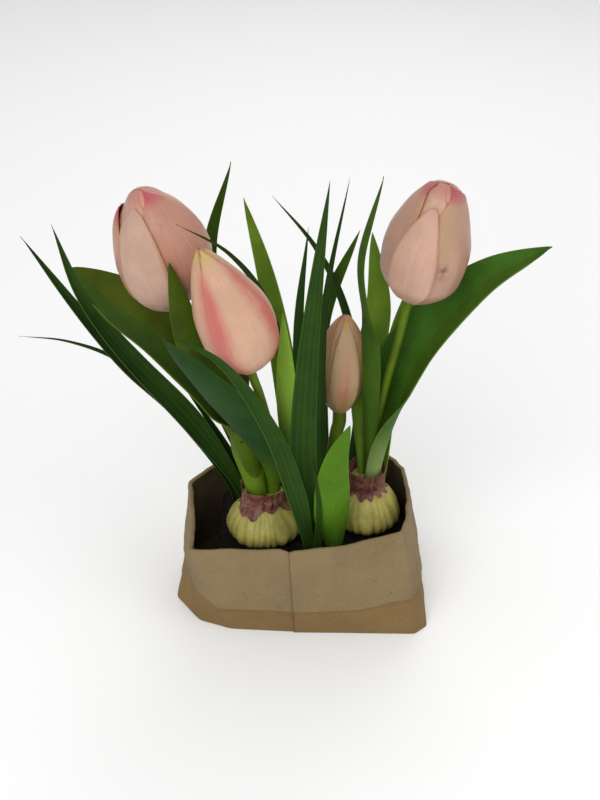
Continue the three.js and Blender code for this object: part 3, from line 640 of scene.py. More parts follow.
def earth_finish(name, base, scale, lift=1.0, depth=0.0008):
    f = Finish(name, 0.95, specular_ior_level=0.2)
    at = f.place()
    lumps = f.speckle(at, scale, 6, 0.7)
    dots = f.speckle(at, scale * 4, 3, 0.6)
    body = f.blend(f.fade(lumps, 0.35, 0.68), tint(base, 0.45), tint(base, 1.5 * lift))
    body = f.over(body, f.fade(dots, 0.62, 0.72), 0.6, tint(base, 2.6, (0.004, 0.003, 0.001)))
    return f.done(body, f.bump(lumps, depth, 0.8))


def wood_finish(name):
    f = Finish(name, 0.7)
    at = f.place()
    grain = f.speckle(f.scaled(at, (900, 900, 60)), 1.4, 4, 0.6, 0.3)
    body = f.blend(f.fade(grain, 0.35, 0.68), (0.38, 0.24, 0.11), (0.58, 0.42, 0.22))
    return f.done(body, f.bump(grain, 0.0002, 0.5))


def core_finish(name):
    f = Finish(name, 0.6)
    at = f.place()
    patch = f.speckle(at, 320, 4, 0.6)
    body = f.blend(f.fade(patch, 0.35, 0.65), (0.24, 0.27, 0.03), (0.46, 0.44, 0.10))
    return f.done(body, f.bump(patch, 0.0004, 0.5))


# ------------------------------------------------------------------ the bag
FACES_PER_SIDE = 10
SEAM_CORNER, SEAM_GAP = 1, 0.015
# The cuff's fold is this far above and within the wall's edge.
FOLD = 0.95


def bag_stations():
    """Places round the bag's outline in corners and shares of a side, with a close pair at the seam."""
    stations = [side + n / FACES_PER_SIDE for side in range(len(BAG)) for n in range(FACES_PER_SIDE)]
    return sorted([*stations, SEAM_CORNER - SEAM_GAP]) + [float(len(BAG))]


def bag_mitre(i, which):
    corners = [Vector(BAG[(i + n) % len(BAG)][which][:2]) for n in (-1, 0, 1)]
    sides = [(b - a).normalized() for a, b in zip(corners, corners[1:])]
    outs = [Vector((s.y, -s.x)) for s in sides]
    return (outs[0] + outs[1]) / (1 + outs[0].dot(outs[1]))


MITRES = [(bag_mitre(i, 0), bag_mitre(i, 1)) for i in range(len(BAG))]


def bag_corner(i, share, offset):
    foot, rim, _ = BAG[i % len(BAG)]
    low, high = MITRES[i % len(BAG)]
    out = low.lerp(high, share) * offset
    return Vector((lerp(foot[0], rim[0], share) + out.x, lerp(foot[1], rim[1], share) + out.y, rim[2] * share))


def bag_point(s, share, offset, crumple):
    """A point of the creased wall: place round the outline, share of its height, stand-off."""
    total = Vector((0, 0, 0))
    for step in (-0.07, 0.0, 0.07):
        i, f = divmod((s + step) % len(BAG), 1)
        total += bag_corner(int(i), share, offset).lerp(bag_corner(int(i) + 1, share, offset), f)
    p = total / 3
    i, f = divmod(s % len(BAG), 1)
    bare = bag_corner(int(i), share, 0).lerp(bag_corner(int(i) + 1, share, 0), f)
    out = MITRES[int(i)][0].lerp(MITRES[(int(i) + 1) % len(BAG)][0], f).normalized()
    bend = ripple(bare, 0.040, 4.0) * 1.1 + ripple(bare, 0.11, 9.0) * 0.55
    crease = abs(ripple(bare, 0.085, 17.0)) + 0.6 * abs(ripple(bare, 0.19, 23.0))
    push = crumple / MM * (bend + 0.30 - crease * 1.1) * ease(share / 0.15)
    lap = 0.55 * max(0.0, 1 - (s - SEAM_CORNER) / 0.9) if s >= SEAM_CORNER else 0.0
    return p + Vector((out.x, out.y, 0)) * (push * 0.75 + lap)


def cuff_share(s):
    i, f = divmod(s % len(BAG), 1)
    a, b = BAG[int(i)][2], BAG[(int(i) + 1) % len(BAG)][2]
    return lerp(a, b, f) + 0.012 * ripple((s * 1.7, 0, 0), 1.0, 2.0)


def rim_dip(s):
    """How far the rim drops: soft waves, and a small notch where the paper is lapped at the seam."""
    notch = 1.1 if SEAM_CORNER - 0.03 < s < SEAM_CORNER + 0.01 else 0.0
    return 0.5 * ripple((s * 2.1, 0, 0), 1.0, 6.0) + notch


def make_bag(paper):
    stations = bag_stations()
    columns = len(stations) - 1
    floor_rows, wall_rows = 5, 26
    seam = stations.index(SEAM_CORNER) / columns
    outside = kraft_finish("kraft_outside", tuple(paper.outside), seam)
    inside = kraft_finish("kraft_inside", tuple(paper.inside), seam)

    def wall(u, v):
        s = stations[round(u * columns)] % len(BAG)
        row = v * (floor_rows + wall_rows)
        if row < floor_rows:
            shrink = row / floor_rows
            foot = bag_point(s, 0, 0, 0)
            return Vector((-1, 0, 0)).lerp(foot, shrink).xy.to_3d() + Vector((0, 0, 0.05))
        share = (row - floor_rows) / wall_rows
        p = bag_point(s, share, 0, paper.crumple)
        return p - Vector((0, 0, share * (rim_dip(s) + 0.5)))

    bag = shaped_grid("bag_wall", columns, floor_rows + wall_rows, wall)
    # The wall's inside face takes the inside paper colour at 0.42: painted shade for the deep shadow inside the bag.
    dress(bag, outside, kraft_finish("kraft_inside_painted_shade", tint(paper.inside, 0.42), seam))
    thicken(bag, paper.thickness, two_sided=True)
    smooth(bag, 28)
    settle(bag, "bag", "kraft", "kraft_bag")

    lip_rows, band_rows = 6, 22
    gap = paper.stand_off / MM

    def band(u, v):
        s = stations[round(u * columns)] % len(BAG)
        row = v * (lip_rows + band_rows)
        if row <= lip_rows:
            # The fold: a half round over the wall's edge, from just inside it to outside.
            turn = math.pi * (row / lip_rows)
            middle, reach = (gap - FOLD) / 2, (gap + FOLD) / 2
            offset = middle - reach * math.cos(turn)
            p = bag_point(s, 1, offset, paper.crumple)
            return p + Vector((0, 0, -rim_dip(s) - 0.9 + FOLD * math.sin(turn)))
        down = (row - lip_rows) / band_rows
        share = lerp(1, cuff_share(s), down)
        swell = gap + 0.35 * math.sin(down * math.pi) * abs(ripple((s, down, 0), 1.3, 5.0)) + 0.25 * down
        p = bag_point(s, share, swell, paper.crumple)
        return p - Vector((0, 0, (1 - down) * (rim_dip(s) + 0.9)))

    cuff = shaped_grid("turned_cuff", columns, lip_rows + band_rows, band)
    bpy.ops.object.mode_set(mode="EDIT")
    bpy.ops.mesh.select_all(action="SELECT")
    bpy.ops.mesh.flip_normals()
    bpy.ops.object.mode_set(mode="OBJECT")
    dress(cuff, inside, outside)
    thicken(cuff, paper.thickness, two_sided=False)
    smooth(cuff, 28)
    settle(cuff, "bag", "kraft_inside", "bag_cuff")


# ------------------------------------------------------------------ the planting block
CRUMBS, CRUMB_SEED = 260, 41


def block_piece(name, grow, bottom, top, voxel, lumps, seed):
    """A slab with the block's outline, remeshed and roughened all over."""
    start_clean()
    bpy.ops.mesh.primitive_circle_add(vertices=len(BLOCK), fill_type="NGON", radius=1)
    slab = bpy.context.object
    slab.name = slab.data.name = name
    order = sorted(range(len(BLOCK)), key=lambda n: math.atan2(*reversed(slab.data.vertices[n].co.xy)) % math.tau)
    places = sorted(BLOCK, key=lambda p: math.atan2(p[1] - 4, p[0] - 4) % math.tau)
    for n, (x, y) in zip(order, places):
        out = Vector((x - 4, y - 4)).normalized() * grow
        slab.data.vertices[n].co = Vector((x + out.x, y + out.y, bottom)) * MM
    bpy.ops.object.mode_set(mode="EDIT")
    bpy.ops.mesh.select_all(action="SELECT")
    bpy.ops.mesh.extrude_region_move(TRANSFORM_OT_translate={"value": (0, 0, (top - bottom) * MM)})
    bpy.ops.mesh.select_all(action="SELECT")
    bpy.ops.mesh.normals_make_consistent(inside=False)
    bpy.ops.object.mode_set(mode="OBJECT")
    apply_modifier(slab, "BEVEL", width=1.2 * MM, segments=2)
    apply_modifier(slab, "REMESH", mode="VOXEL", voxel_size=voxel * MM)
    for vertex in slab.data.vertices:
        p = vertex.co / MM
        rough = ripple(p, 0.16, seed) + 0.6 * ripple(p, 0.42, seed + 3) + 0.35 * ripple(p, 0.9, seed + 7)
        vertex.co += vertex.normal * rough * lumps * MM
    return slab


def make_crumbs(count, finish):
    """Loose crumbs on the soil: one lump, copied, each copy with its own mesh."""
    draw = random.Random(CRUMB_SEED)
    start_clean()
    bpy.ops.mesh.primitive_ico_sphere_add(subdivisions=2, radius=1)
    lump = bpy.context.object
    for vertex in lump.data.vertices:
        vertex.co *= 1 + 0.55 * ripple(vertex.co, 1.4, 2.0)
    dress(lump, finish)
    crumbs = [lump]
    for _ in range(count):
        crumb = lump.copy()
        crumb.data = lump.data.copy()
        bpy.context.collection.objects.link(crumb)
        crumbs.append(crumb)
    for crumb in crumbs:
        size = draw.uniform(0.35, 1.0) * (1.5 if draw.random() < 0.15 else 1)
        x, y = draw.uniform(-36, 43), draw.uniform(-27, 34)
        spot = Vector((x, y, SOIL_TOP + 0.15 + 0.25 * size)) * MM
        turn = Matrix.Rotation(draw.uniform(0, math.tau), 4, Vector((draw.random(), draw.random(), 1)).normalized())
        squash = Matrix.Diagonal((size, size * draw.uniform(0.6, 1), size * draw.uniform(0.5, 0.9), 1))
        crumb.data.transform(Matrix.Translation(spot) @ turn @ squash @ Matrix.Scale(MM, 4))
    return crumbs


def make_block():
    earth = earth_finish("potting_soil", (0.0075, 0.0065, 0.005), 240)
    foam = earth_finish("floral_foam", (0.010, 0.013, 0.008), 700, depth=0.0004)
    soil = block_piece("soil_bed", 1.6, SOIL_TOP - 6.6, SOIL_TOP, 0.9, 1.3, 3.0)
    dress(soil, earth)
    soil = join("soil_bed", [soil, *make_crumbs(CRUMBS, earth)])
    smooth(soil, 60)
    settle(soil, "planting", "soil", "soil_crust")
    base = block_piece("foam_base", -0.6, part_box("foam_block")[0].z / MM + 0.5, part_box("foam_block")[1].z / MM - 0.3,
                       1.3, 0.5, 11.0)
    dress(base, foam)
    smooth(base, 50)
    settle(base, "planting", "foam", "foam_block")
    wood = wood_finish("pick_wood")
    for side in BULBS:
        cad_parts[f"{side}_pick"].data.materials.clear()
        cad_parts[f"{side}_pick"].data.materials.append(wood)


# ------------------------------------------------------------------ bulbs
BULB_GRID, HUSK_GRID = (120, 44), (110, 18)
# Depth of the grooves as a share of the radius, low on the bulb and at its neck.
GROOVE_LOW, GROOVE_HIGH = 0.052, 0.012
CAP_BELOW, CAP_ABOVE = 0.12, 0.93


def bulb_outline(bulb):
    """Radius against height, from the foot to the neck."""
    belly, neck, low, high = bulb["belly"], bulb["neck"], bulb["belly_z"], bulb["neck_z"]
    return ((BULB_FOOT, belly * 0.45), (SOIL_TOP - 0.5, belly * 0.5), (lerp(SOIL_TOP, low, 0.42), belly * 0.86),
            (low, belly), (lerp(low, high, 0.25), belly * 0.93), (lerp(low, high, 0.5), belly * 0.74),
            (lerp(low, high, 0.72), neck), (high, neck * 0.97))


def bulb_groove(bulb, turn, z):
    """0 on a rib and 1 in the groove beside it, with uneven ribs that fork towards the foot."""
    sway = 0.35 * ripple((math.cos(turn) * 1.3, math.sin(turn) * 1.3, z * 0.03), 1.0, bulb["seed"])
    sway += 0.10 * ripple((math.cos(turn) * 3.5, math.sin(turn) * 3.5, z * 0.06), 1.0, bulb["seed"] + 11)
    phase = (turn + sway) * bulb["ribs"] / 2
    return (1 - abs(math.sin(phase))) ** 1.6


def bulb_radius(bulb, turn, z):
    body = along(bulb_outline(bulb), z)
    c, s = math.cos(turn), math.sin(turn)
    uneven = 0.75 + 0.7 * ripple((c * 2, s * 2, z * 0.08), 1.0, bulb["seed"] + 8)
    depth = lerp(GROOVE_LOW, GROOVE_HIGH, ease((z - 35) / 18)) * uneven
    lump = 0.065 * ripple((c, s, z * 0.05), 1.6, bulb["seed"] + 5)
    lobe = 0.06 * ease((40 - z) / 8) * (1 - bulb_groove(bulb, turn, z))
    return body * (1.0 - depth * bulb_groove(bulb, turn, z) + lump + lobe)


def make_bulb(side, bulb, skin):
    columns, rows = BULB_GRID
    x0, y0 = bulb["at"]

    def place(u, v):
        turn = math.tau * (u % 1.0)
        if v <= CAP_BELOW:
            r = bulb_radius(bulb, turn, BULB_FOOT) * v / CAP_BELOW
            z = BULB_FOOT + 0.3
        elif v < CAP_ABOVE:
            z = lerp(BULB_FOOT + 0.3, bulb["neck_z"] - 0.4, (v - CAP_BELOW) / (CAP_ABOVE - CAP_BELOW))
            r = bulb_radius(bulb, turn, z)
        else:
            inwards = (v - CAP_ABOVE) / (1 - CAP_ABOVE)
            z = bulb["neck_z"] - 0.4 - 2.0 * inwards
            r = bulb_radius(bulb, turn, bulb["neck_z"]) * (1 - inwards)
        return Vector((x0 + r * math.cos(turn), y0 + r * math.sin(turn), z))

    body = shaped_grid(f"{side}_tulip_bulb", columns, rows, place)
    mark = body.data.attributes.new("groove", "FLOAT", "POINT")
    for n, vertex in enumerate(body.data.vertices):
        p = vertex.co / MM - Vector((x0, y0, 0))
        mark.data[n].value = bulb_groove(bulb, math.atan2(p.y, p.x), p.z) * ease((55 - p.z) / 10)
    dress(body, skin)
    smooth(body, 60)
    settle(body, "planting", "bulb", f"{side}_bulb")


def make_husk(side, bulb, skin):
    """The papery tunic round the neck: lobed hem on the shoulder, waist, and a ragged flared lip."""
    columns, rows = HUSK_GRID
    x0, y0 = bulb["at"]
    seed = bulb["seed"]
    high = bulb["neck_z"]

    def place(u, v):
        turn = math.tau * (u % 1.0)
        c, s = math.cos(turn), math.sin(turn)
        lobes = 3.4 * ripple((c, s, 0), 1.7, seed) + 2.8 * ripple((c * 3, s * 3, 0), 1.0, seed + 4)
        hem = high - 5.8 - 1.6 * max(0.0, -s) + lobes
        lip = high + 3.6 + 1.3 * ripple((c * 2.2, s * 2.2, 0), 1.0, seed + 9)
        z = lerp(hem, lip, v)
        hug = bulb_radius(bulb, turn, min(z, high))
        waist = bulb["neck"] * (0.90 + 0.16 * ease((v - 0.6) / 0.4)) + 0.5
        r = lerp(max(hug + 0.5, waist), waist, ease((z - high + 3) / 3))
        wrinkle = 0.95 * ripple((c * 7, s * 7, z * 0.12), 1.0, seed + 2)
        wrinkle += 0.6 * ripple((c * 15, s * 15, z * 0.3), 1.0, seed)
        r += (0.55 + wrinkle) * (0.5 + 0.5 * math.sin(math.pi * min(1, v * 1.1)))
        return Vector((x0 + r * c, y0 + r * s, z))

    husk = shaped_grid(f"{side}_papery_husk", columns, rows, place)
    dress(husk, skin)
    thicken(husk, 0.3 * MM)
    smooth(husk, 50)
    settle(husk, "planting", "husk", f"{side}_husk")


# ------------------------------------------------------------------ stems, leaves and blades
STEM_GRID, LEAF_GRID, BLADE_GRID = (16, 64), (22, 84), (10, 76)
PEG_RINGS = 5


def rooted(route):
    """A root below the soil's surface goes straight up through it."""
    x, y, z = route[0]
    return [route[0], *([(x, y, SOIL_TOP + 4)] if z < SOIL_TOP else []), *route[1:]]


def make_stem(side, skin):
    radius, route = STEMS[side]
    head = HEADS[side]
    base, axis = Vector(head["base"]), (Vector(head["tip"]) - Vector(head["base"])).normalized()
    seat = base - axis * 0.3
    line = Route([*route, tuple(seat - axis * 8), tuple(seat)])
    columns, rows = STEM_GRID
    rings = {}

    def ring(row):
        if row in rings:
            return rings[row]
        if row == 0:
            found = line.point(0), line.tangent(0.01), 0.0
        elif row <= rows - PEG_RINGS + 1:
            share = (row - 1) / (rows - PEG_RINGS)
            uneven = 1 + 0.03 * ripple((row * 0.3, 0, 0), 1.0)
            found = line.point(share), line.tangent(min(share, 0.99)), radius * uneven
        else:
            # The peg that the head turns on.
            up, r = {rows - 3: (0, 1.0), rows - 2: (3, 1.0), rows - 1: (6, 1.0), rows: (6, 0.0)}[row]
            found = seat + axis * up, axis, r
        rings[row] = found
        return found

    def place(u, v):
        centre, tangent, r = ring(round(v * rows))
        across = (Vector((0, -1, 0)) + tangent * tangent.y).normalized()
        turn = math.tau * (u % 1.0)
        return centre + (across * math.cos(turn) + tangent.cross(across) * math.sin(turn)) * r

    stem = shaped_grid(f"{side}_flower_stem", columns, rows, place)
    dress(stem, skin)
    smooth(stem, 60)
    settle(stem, "planting", "stem", f"{side}_tulip_stem")


def outline_at(t, foot, broad, fullness):
    widest = 0.45 if broad else 0.35
    root = foot + (1 - foot) * ease(t / widest)
    to_tip = max(0.0, (t - widest) / (1 - widest))
    return root * max(0.0, 1 - to_tip ** fullness) ** (0.85 if broad else 1)


def wrap_at(t, wrap):
    root, middle, tip = wrap
    return math.radians(lerp(root, middle, ease(t / 0.42)) if t < 0.42 else lerp(middle, tip, (t - 0.42) / 0.58))


def make_strip(name, leaf_, skins, columns, rows, slot):
    made = [strip_shape(name, leaf_, skins, columns, rows, Vector((0, 0, 0)))]
    made += [strip_shape(name, leaf_, skins, columns, rows, Vector(away)) for away in leaf_.get("tuft", ())]
    strip = join(made[0].name, made)
    smooth(strip, 50)
    settle(strip, "planting", slot, name)


def strip_shape(name, leaf_, skins, columns, rows, away):
    """One strip along its line, its tip moved by away."""
    knots = rooted(leaf_["route"])
    line = Route([Vector(p) + away * (n / (len(knots) - 1)) for n, p in enumerate(knots)])
    sheath = leaf_["route"][0][2] > SOIL_TOP
    facings = Vector(leaf_["root_face"]), Vector(leaf_["face"]), Vector(leaf_["late_face"])
    rings = {}
    seed = wander_shift(name) * 1.7

    def ring(row):
        if row not in rings:
            t = row / rows
            tangent = line.tangent(min(t, 0.995))
            facing = facings[0].slerp(facings[1], ease((t - 0.08) / 0.34)).slerp(facings[2], ease((t - 0.45) / 0.18))
            normal = (facing - tangent * facing.dot(tangent)).normalized()
            angle = wrap_at(t, leaf_["wrap"])
            width = leaf_["width"] * outline_at(t, leaf_["foot"], leaf_["broad"], leaf_["fullness"])
            rings[row] = t, line.point(t), normal, tangent.cross(normal), angle, width
        return rings[row]

    def place(u, v):
        t, centre, normal, side, angle, width = ring(round(v * rows))
        if t >= 1:
            return centre
        radius = width / angle
        rib = ease(t / 0.42) if sheath else 1.0
        turn = angle * (u - 0.5)
        w = abs(2 * u - 1)
        open_part = ease((t - 0.15) / 0.3)
        keel = leaf_["fold"] * width * 0.5 * open_part * (math.sqrt(w * w + 0.012) - 0.5)
        wave = leaf_["ripple"] * open_part * w * w * ripple((t * 7, (u - 0.5) * 1.2, 0), 1.0, seed) * (1.2 - t)
        body = ripple((t * 4, u * 1.5, 0), 1.0, seed + 5) * 0.35 * leaf_["ripple"] * open_part
        reach = radius * rib - radius * math.cos(turn) + keel + wave * 1.6 + body
        return centre + side * (radius * math.sin(turn)) + normal * reach

    strip = shaped_grid(name.replace("sheath_leaf", "broad_leaf") + "_skin", columns, rows, place)
    dress(strip, *skins)
    thicken(strip, leaf_["thick"] * MM, two_sided=len(skins) > 1)
    return strip


# ------------------------------------------------------------------ flower heads
def head_frame(head):
    base, tip = Vector(head["base"]), Vector(head["tip"])
    axis = tip - base
    turn = Vector((0, 0, 1)).rotation_difference(axis.normalized()).to_matrix().to_4x4()
    return Matrix.Translation(base) @ turn, axis.length


def petal_shape(name, head, petal, seed, columns=28, rows=44):
    turn, half, lift, top, flare, point, twist = petal
    stand, tall = head_frame(head)
    radius, profile, lean = head["radius"], head["profile"], Vector((*head["lean"], 0))
    foot_ring, heel = 2.5, 0.05

    def place(u, v):
        w = 2 * u - 1
        if v < heel:
            # The heel curls in under the head, round the stem.
            r = lerp(foot_ring, along(profile, 0.012) * radius, (v / heel) ** 0.8)
            z = lerp(-0.35, 0.012 * tall, (v / heel) ** 1.6)
            reach, t = 0.0, 0.012
        else:
            reach = (v - heel) / (1 - heel)
            t = lerp(0.012, top, reach)
            z, r = t * tall * lerp(1, head["stretch"], ease(t)), along(profile, t) * radius
        spread = lerp(0.62, 1.0, ease(reach / 0.34)) * max(0.0, 1 - reach ** point) ** 0.55
        wobble = 1 + 0.045 * ripple((reach * 4, 1 if w > 0 else -1, 0), 1.0, seed)
        angle = math.radians(turn + twist * reach + half * w * spread * wobble)
        # One edge lies over its neighbour and the other tucks under; the middle has a shallow groove.
        out = lift + (0.35 * w if half > 50 else 0.0) - 0.35 * ease((abs(w) - 0.86) / 0.14)
        out -= 0.35 * math.exp(-(w / 0.10) ** 2) * math.sin(math.pi * min(1, reach * 1.05))
        out += 0.55 * ripple((w * 1.4, reach * 2.2, 0), 1.0, seed + 3)
        out = out * ease(reach / 0.15) * lerp(1, 0.45, ease((t - 0.85) / 0.15)) + flare * ease((reach - 0.55) / 0.45)
        r = max(0.35, r + out)
        bow = Vector((head["bow"] * math.sin(math.pi * t), 0, 0))
        return stand @ (Vector((r * math.cos(angle), r * math.sin(angle), z)) + lean * ease(t) + bow)

    return shaped_grid(name, columns, rows, place)


def make_head(side, finishes, thickness):
    head = HEADS[side]
    body = f"{side}_head"
    front, flank, inner = finishes
    for n, petal in enumerate(head["petals"], 1):
        piece = petal_shape(f"{side}_outer_petal_{n}", head, petal, 5.0 * n + wander_shift(side))
        dress(piece, front if n == 1 else flank)
        thicken(piece, thickness)
        smooth(piece, 50)
        settle(piece, body, "petal", f"{side}_tulip_petal_{n}")
    parts = []
    for n, petal in enumerate(INNER_PETALS, 1):
        piece = petal_shape(f"{side}_inner_{n}", head, petal, 31.0 * n, 24 if petal[1] < 90 else 48, 38)
        dress(piece, inner)
        thicken(piece, thickness)
        parts.append(piece)
    inside = join(f"{side}_inner_petals", parts)
    smooth(inside, 50)
    settle(inside, body, "inner_petal", f"{side}_tulip_inner_cup")


# ------------------------------------------------------------------ operators
class TULIPS_OT_paper_bag(bpy.types.Operator):
    """Make the creased paper bag and its turned-down cuff"""
    bl_idname = "tulips.paper_bag"
    bl_label = "Paper bag and cuff"

    def execute(self, context):
        make_bag(context.scene.tulips_paper)
        return {"FINISHED"}


class TULIPS_OT_planting_block(bpy.types.Operator):
    """Make the soil, the foam below it and the picks' wood"""
    bl_idname = "tulips.planting_block"
    bl_label = "Soil and foam"

    def execute(self, context):
        make_block()
        return {"FINISHED"}


class TULIPS_OT_bulbs(bpy.types.Operator):
    """Make the ribbed bulbs and their papery husks"""
    bl_idname = "tulips.bulbs"
    bl_label = "Bulbs and husks"

    def execute(self, context):
        skin = bulb_finish("bulb_skin", tuple(context.scene.tulips_plant.bulb))
        paper = husk_finish("husk_paper")
        for side, bulb in BULBS.items():
            make_bulb(side, bulb, skin)
            make_husk(side, bulb, paper)
        return {"FINISHED"}


class TULIPS_OT_stems(bpy.types.Operator):
    """Make the flower stems with their pegs"""
    bl_idname = "tulips.stems"
    bl_label = "Flower stems"

    def execute(self, context):
        green = stem_finish("stem_green", (0.082, 0.145, 0.007))
        for side in STEMS:
            make_stem(side, green)
        return {"FINISHED"}


def leaf_finishes(base):
    """Hollow side and back of each kind of leaf."""
    pale, sheath, lime = (0.22, 0.30, 0.09), (0.12, 0.215, 0.012), (0.13, 0.22, 0.014)
    return {
        "leaf_folded": (leaf_finish("folded_face", (0.060, 0.088, 0.006), sheath, smudge=0.5,
                                    lower=(0.040, 0.090, 0.010)),
                        leaf_finish("folded_back", base, sheath, 0.20, smudge=0.8)),
        "leaf_specked": (leaf_finish("specked", (0.050, 0.088, 0.004), specks=0.75, mottle=0.7),),
        "leaf_deep": (leaf_finish("deep_face", (0.014, 0.052, 0.008), sheath, 0.2),
                      leaf_finish("deep_back", (0.013, 0.050, 0.008), sheath, 0.2)),
        "leaf_light": (leaf_finish("light", (0.140, 0.250, 0.022), mottle=0.45),),
        # The centre leaf's finish is about twice as bright as leaf_light: painted light on a leaf that the heads shade.
        "leaf_lit": (leaf_finish("lit", (0.26, 0.45, 0.050), mottle=0.35),),
        "leaf_bright": (leaf_finish("bright", (0.066, 0.158, 0.009), (0.075, 0.17, 0.010), mottle=0.45),),
        "leaf_pale_foot": (leaf_finish("pale_foot_face", (0.050, 0.112, 0.008), lime, 0.2,
                                       lower=(0.046, 0.135, 0.014)),
                           leaf_finish("pale_foot_back", (0.036, 0.105, 0.009), pale, 0.16)),
        "leaf_mid": (leaf_finish("mid", (0.038, 0.088, 0.007)),),
    }


class TULIPS_OT_leaves(bpy.types.Operator):
    """Make the broad leaves"""
    bl_idname = "tulips.leaves"
    bl_label = "Broad leaves"

    def execute(self, context):
        finishes = leaf_finishes(tuple(context.scene.tulips_plant.leaf))
        for name, item in LEAVES.items():
            make_strip(name, item, finishes[item["finish"]], *LEAF_GRID, "leaf")
        return {"FINISHED"}


class TULIPS_OT_blades(bpy.types.Operator):
    """Make the narrow grass blades"""
    bl_idname = "tulips.blades"
    bl_label = "Grass blades"

    def execute(self, context):
        finishes = {
            "blade_dark": (leaf_finish("blade_dark", (0.014, 0.042, 0.005), veins=3, mottle=0.35, edge=1.6),),
            "blade_mid": (leaf_finish("blade_mid", (0.017, 0.050, 0.006), veins=4, mottle=0.35, edge=1.6),),
        }
        for name, item in BLADES.items():
            make_strip(name, item, finishes[item["finish"]], *BLADE_GRID, "blade")
        return {"FINISHED"}


class TULIPS_OT_heads(bpy.types.Operator):
    """Make the four flower heads"""
    bl_idname = "tulips.heads"
    bl_label = "Flower heads"

    def execute(self, context):
        plant = context.scene.tulips_plant
        peach, pink = tuple(plant.petal), tuple(plant.flush)
        # The orange edge colour is painted shade and glow of the gaps between petals.
        gap_shade_orange, deep = (0.46, 0.205, 0.085), (0.42, 0.055, 0.085)
        yellow, foot = (0.50, 0.39, 0.07), (0.34, 0.25, 0.05)
        # The inside petals are painted lighter than the outer petals' body: painted light against the shade inside the
        # head.
        inner = petal_finish("petal_inside", (0.54, 0.335, 0.225), pink, deep, foot, gap_shade_orange, streaks=0.5,
                             spotted_tip=0.4)
        green = core_finish("core_green")
        rose = (0.50, 0.125, 0.105)
        # The left and right heads' front petals take a lighter copy of the peach than their flanks: partly painted
        # highlight, partly the front petal's own paler colour.
        looks = {
            "left": (petal_finish("left_front", tint(peach, 1.10, (0, 0.01, 0.015)), pink, peach, foot, gap_shade_orange,
                                  streaks=0.15, gloss=0.28),
                     petal_finish("left_flank", tint(peach, 1.03, (0, -0.045, -0.04)), pink, deep, foot, gap_shade_orange,
                                  streaks=0.9, spotted_tip=0.9)),
            "front": (petal_finish("front_front", (0.55, 0.34, 0.22), rose, yellow, yellow, (0.46, 0.17, 0.05),
                                   flush_edge=1.5, streaks=0.4, spotted_tip=0.9),
                      petal_finish("front_flank", (0.52, 0.32, 0.20), rose, yellow, yellow, (0.44, 0.16, 0.05),
                                   flush_middle=0.6, flush_edge=1.4, streaks=0.4, spotted_tip=0.9)),
            "bud": (petal_finish("bud_front", (0.46, 0.31, 0.17), (0.42, 0.12, 0.08), (0.46, 0.34, 0.02), foot,
                                 (0.34, 0.27, 0.05), flush_middle=0.95, streaks=0.35, wash=0.6,
                                 wash_colour=(0.33, 0.31, 0.045), spotted_tip=0.95),
                    petal_finish("bud_flank", (0.40, 0.20, 0.125), (0.33, 0.085, 0.06), (0.46, 0.34, 0.02), foot,
                                 (0.34, 0.27, 0.05), streaks=0.6, wash=0.4, wash_colour=(0.33, 0.31, 0.045),
                                 spotted_tip=0.9)),
            "right": (petal_finish("right_front", tint(peach, 1.20, (0, 0.0, 0.01)), pink, peach, foot, gap_shade_orange,
                                   streaks=0.2, gloss=0.24),
                      petal_finish("right_flank", tint(peach, 0.97, (0, -0.01, -0.01)), pink, deep, foot,
                                   gap_shade_orange, streaks=0.6, spotted_tip=0.9, tan=0.22, bruise=(0.23, 0.50))),
        }
        for side in HEADS:
            make_head(side, (*looks[side], inner), plant.petal_thickness)
            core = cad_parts[f"{side}_tulip_core"]
            core.data.materials.clear()
            core.data.materials.append(green)
        return {"FINISHED"}


FLOOR_SIZE, FLOOR_DROP = 60, 0.0002
ROOM_LIGHT = 0.66
CAMERA_AT, CAMERA_TILT, LENS, SENSOR = (-0.001449, -0.48702, 0.40572), 58, 58.5, 36
AIM = (0, 0, 0.1)
# Lights: place, width, and power as a share of the key light's.
LAMPS = {
    "key": ((-0.32, -0.80, 0.75), 0.9, 1),
    "fill": ((0.7, -0.55, 0.55), 0.8, 0.40),
    "back": ((0.1, 0.75, 0.85), 0.7, 0.45),
}


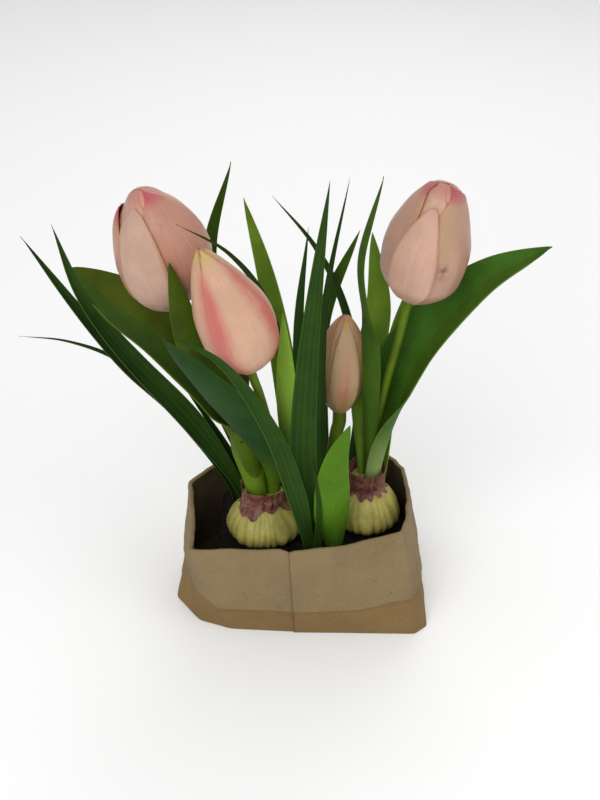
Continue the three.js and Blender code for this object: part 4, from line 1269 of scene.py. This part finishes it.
class TULIPS_OT_stage(bpy.types.Operator):
    """Make the floor, the lights and the camera"""
    bl_idname = "tulips.stage"
    bl_label = "Floor, lights and camera"

    def execute(self, context):
        settings = context.scene.tulips_stage
        start_clean()
        bpy.ops.mesh.primitive_plane_add(size=FLOOR_SIZE, location=(0, 0, 0))
        floor = bpy.context.object
        floor.name = "floor"
        for vertex in floor.data.vertices:
            vertex.co.z = -FLOOR_DROP
        plain = bpy.data.materials.new("floor_plain")
        plain.use_nodes = True
        shader = plain.node_tree.nodes["Principled BSDF"]
        shader.inputs["Base Color"].default_value = (*settings.floor, 1)
        shader.inputs["Roughness"].default_value = 0.9
        floor.data.materials.append(plain)

        world = bpy.data.worlds.new("soft_room")
        context.scene.world = world
        world.use_nodes = True
        world.node_tree.nodes["Background"].inputs["Color"].default_value = (1, 1, 1, 1)
        world.node_tree.nodes["Background"].inputs["Strength"].default_value = ROOM_LIGHT
        for name, (spot, size, share) in LAMPS.items():
            bpy.ops.object.light_add(type="AREA", location=spot)
            lamp = bpy.context.object
            lamp.name = name
            lamp.data.shape = "DISK"
            lamp.data.size = size
            lamp.data.energy = settings.key * share
            lamp.rotation_euler = (Vector(AIM) - Vector(spot)).to_track_quat("-Z", "Y").to_euler()

        bpy.ops.object.camera_add(location=CAMERA_AT, rotation=(math.radians(CAMERA_TILT), 0, 0))
        camera = bpy.context.object
        camera.name = "front_camera"
        camera.data.lens = LENS
        camera.data.sensor_width = SENSOR
        context.scene.camera = camera
        context.scene.view_settings.view_transform = "Standard"
        return {"FINISHED"}


OPERATORS = (
    TULIPS_OT_paper_bag, TULIPS_OT_planting_block, TULIPS_OT_bulbs, TULIPS_OT_stems, TULIPS_OT_leaves,
    TULIPS_OT_blades, TULIPS_OT_heads, TULIPS_OT_stage,
)


class TULIPS_PT_panel(bpy.types.Panel):
    """Buttons that build the arrangement piece by piece"""
    bl_idname = "TULIPS_PT_panel"
    bl_label = "Tulips in a paper bag"
    bl_space_type = "VIEW_3D"
    bl_region_type = "UI"
    bl_category = "Tulips"

    def draw(self, context):
        scene = context.scene
        for group in (scene.tulips_paper, scene.tulips_plant, scene.tulips_stage):
            box = self.layout.box()
            for key in group.__annotations__:
                box.prop(group, key)
        for operator in OPERATORS:
            self.layout.operator(operator.bl_idname)


GROUPS = {"tulips_paper": PaperSettings, "tulips_plant": PlantSettings, "tulips_stage": StageSettings}


def register():
    for kind in (*GROUPS.values(), *OPERATORS, TULIPS_PT_panel):
        bpy.utils.register_class(kind)
    for name, kind in GROUPS.items():
        setattr(bpy.types.Scene, name, bpy.props.PointerProperty(type=kind))


def unregister():
    for name in GROUPS:
        delattr(bpy.types.Scene, name)
    for kind in reversed((*GROUPS.values(), *OPERATORS, TULIPS_PT_panel)):
        bpy.utils.unregister_class(kind)


def main():
    register()
    for operator in OPERATORS:
        getattr(bpy.ops.tulips, operator.bl_idname.split(".")[1])()


if __name__ == "__main__":
    main()
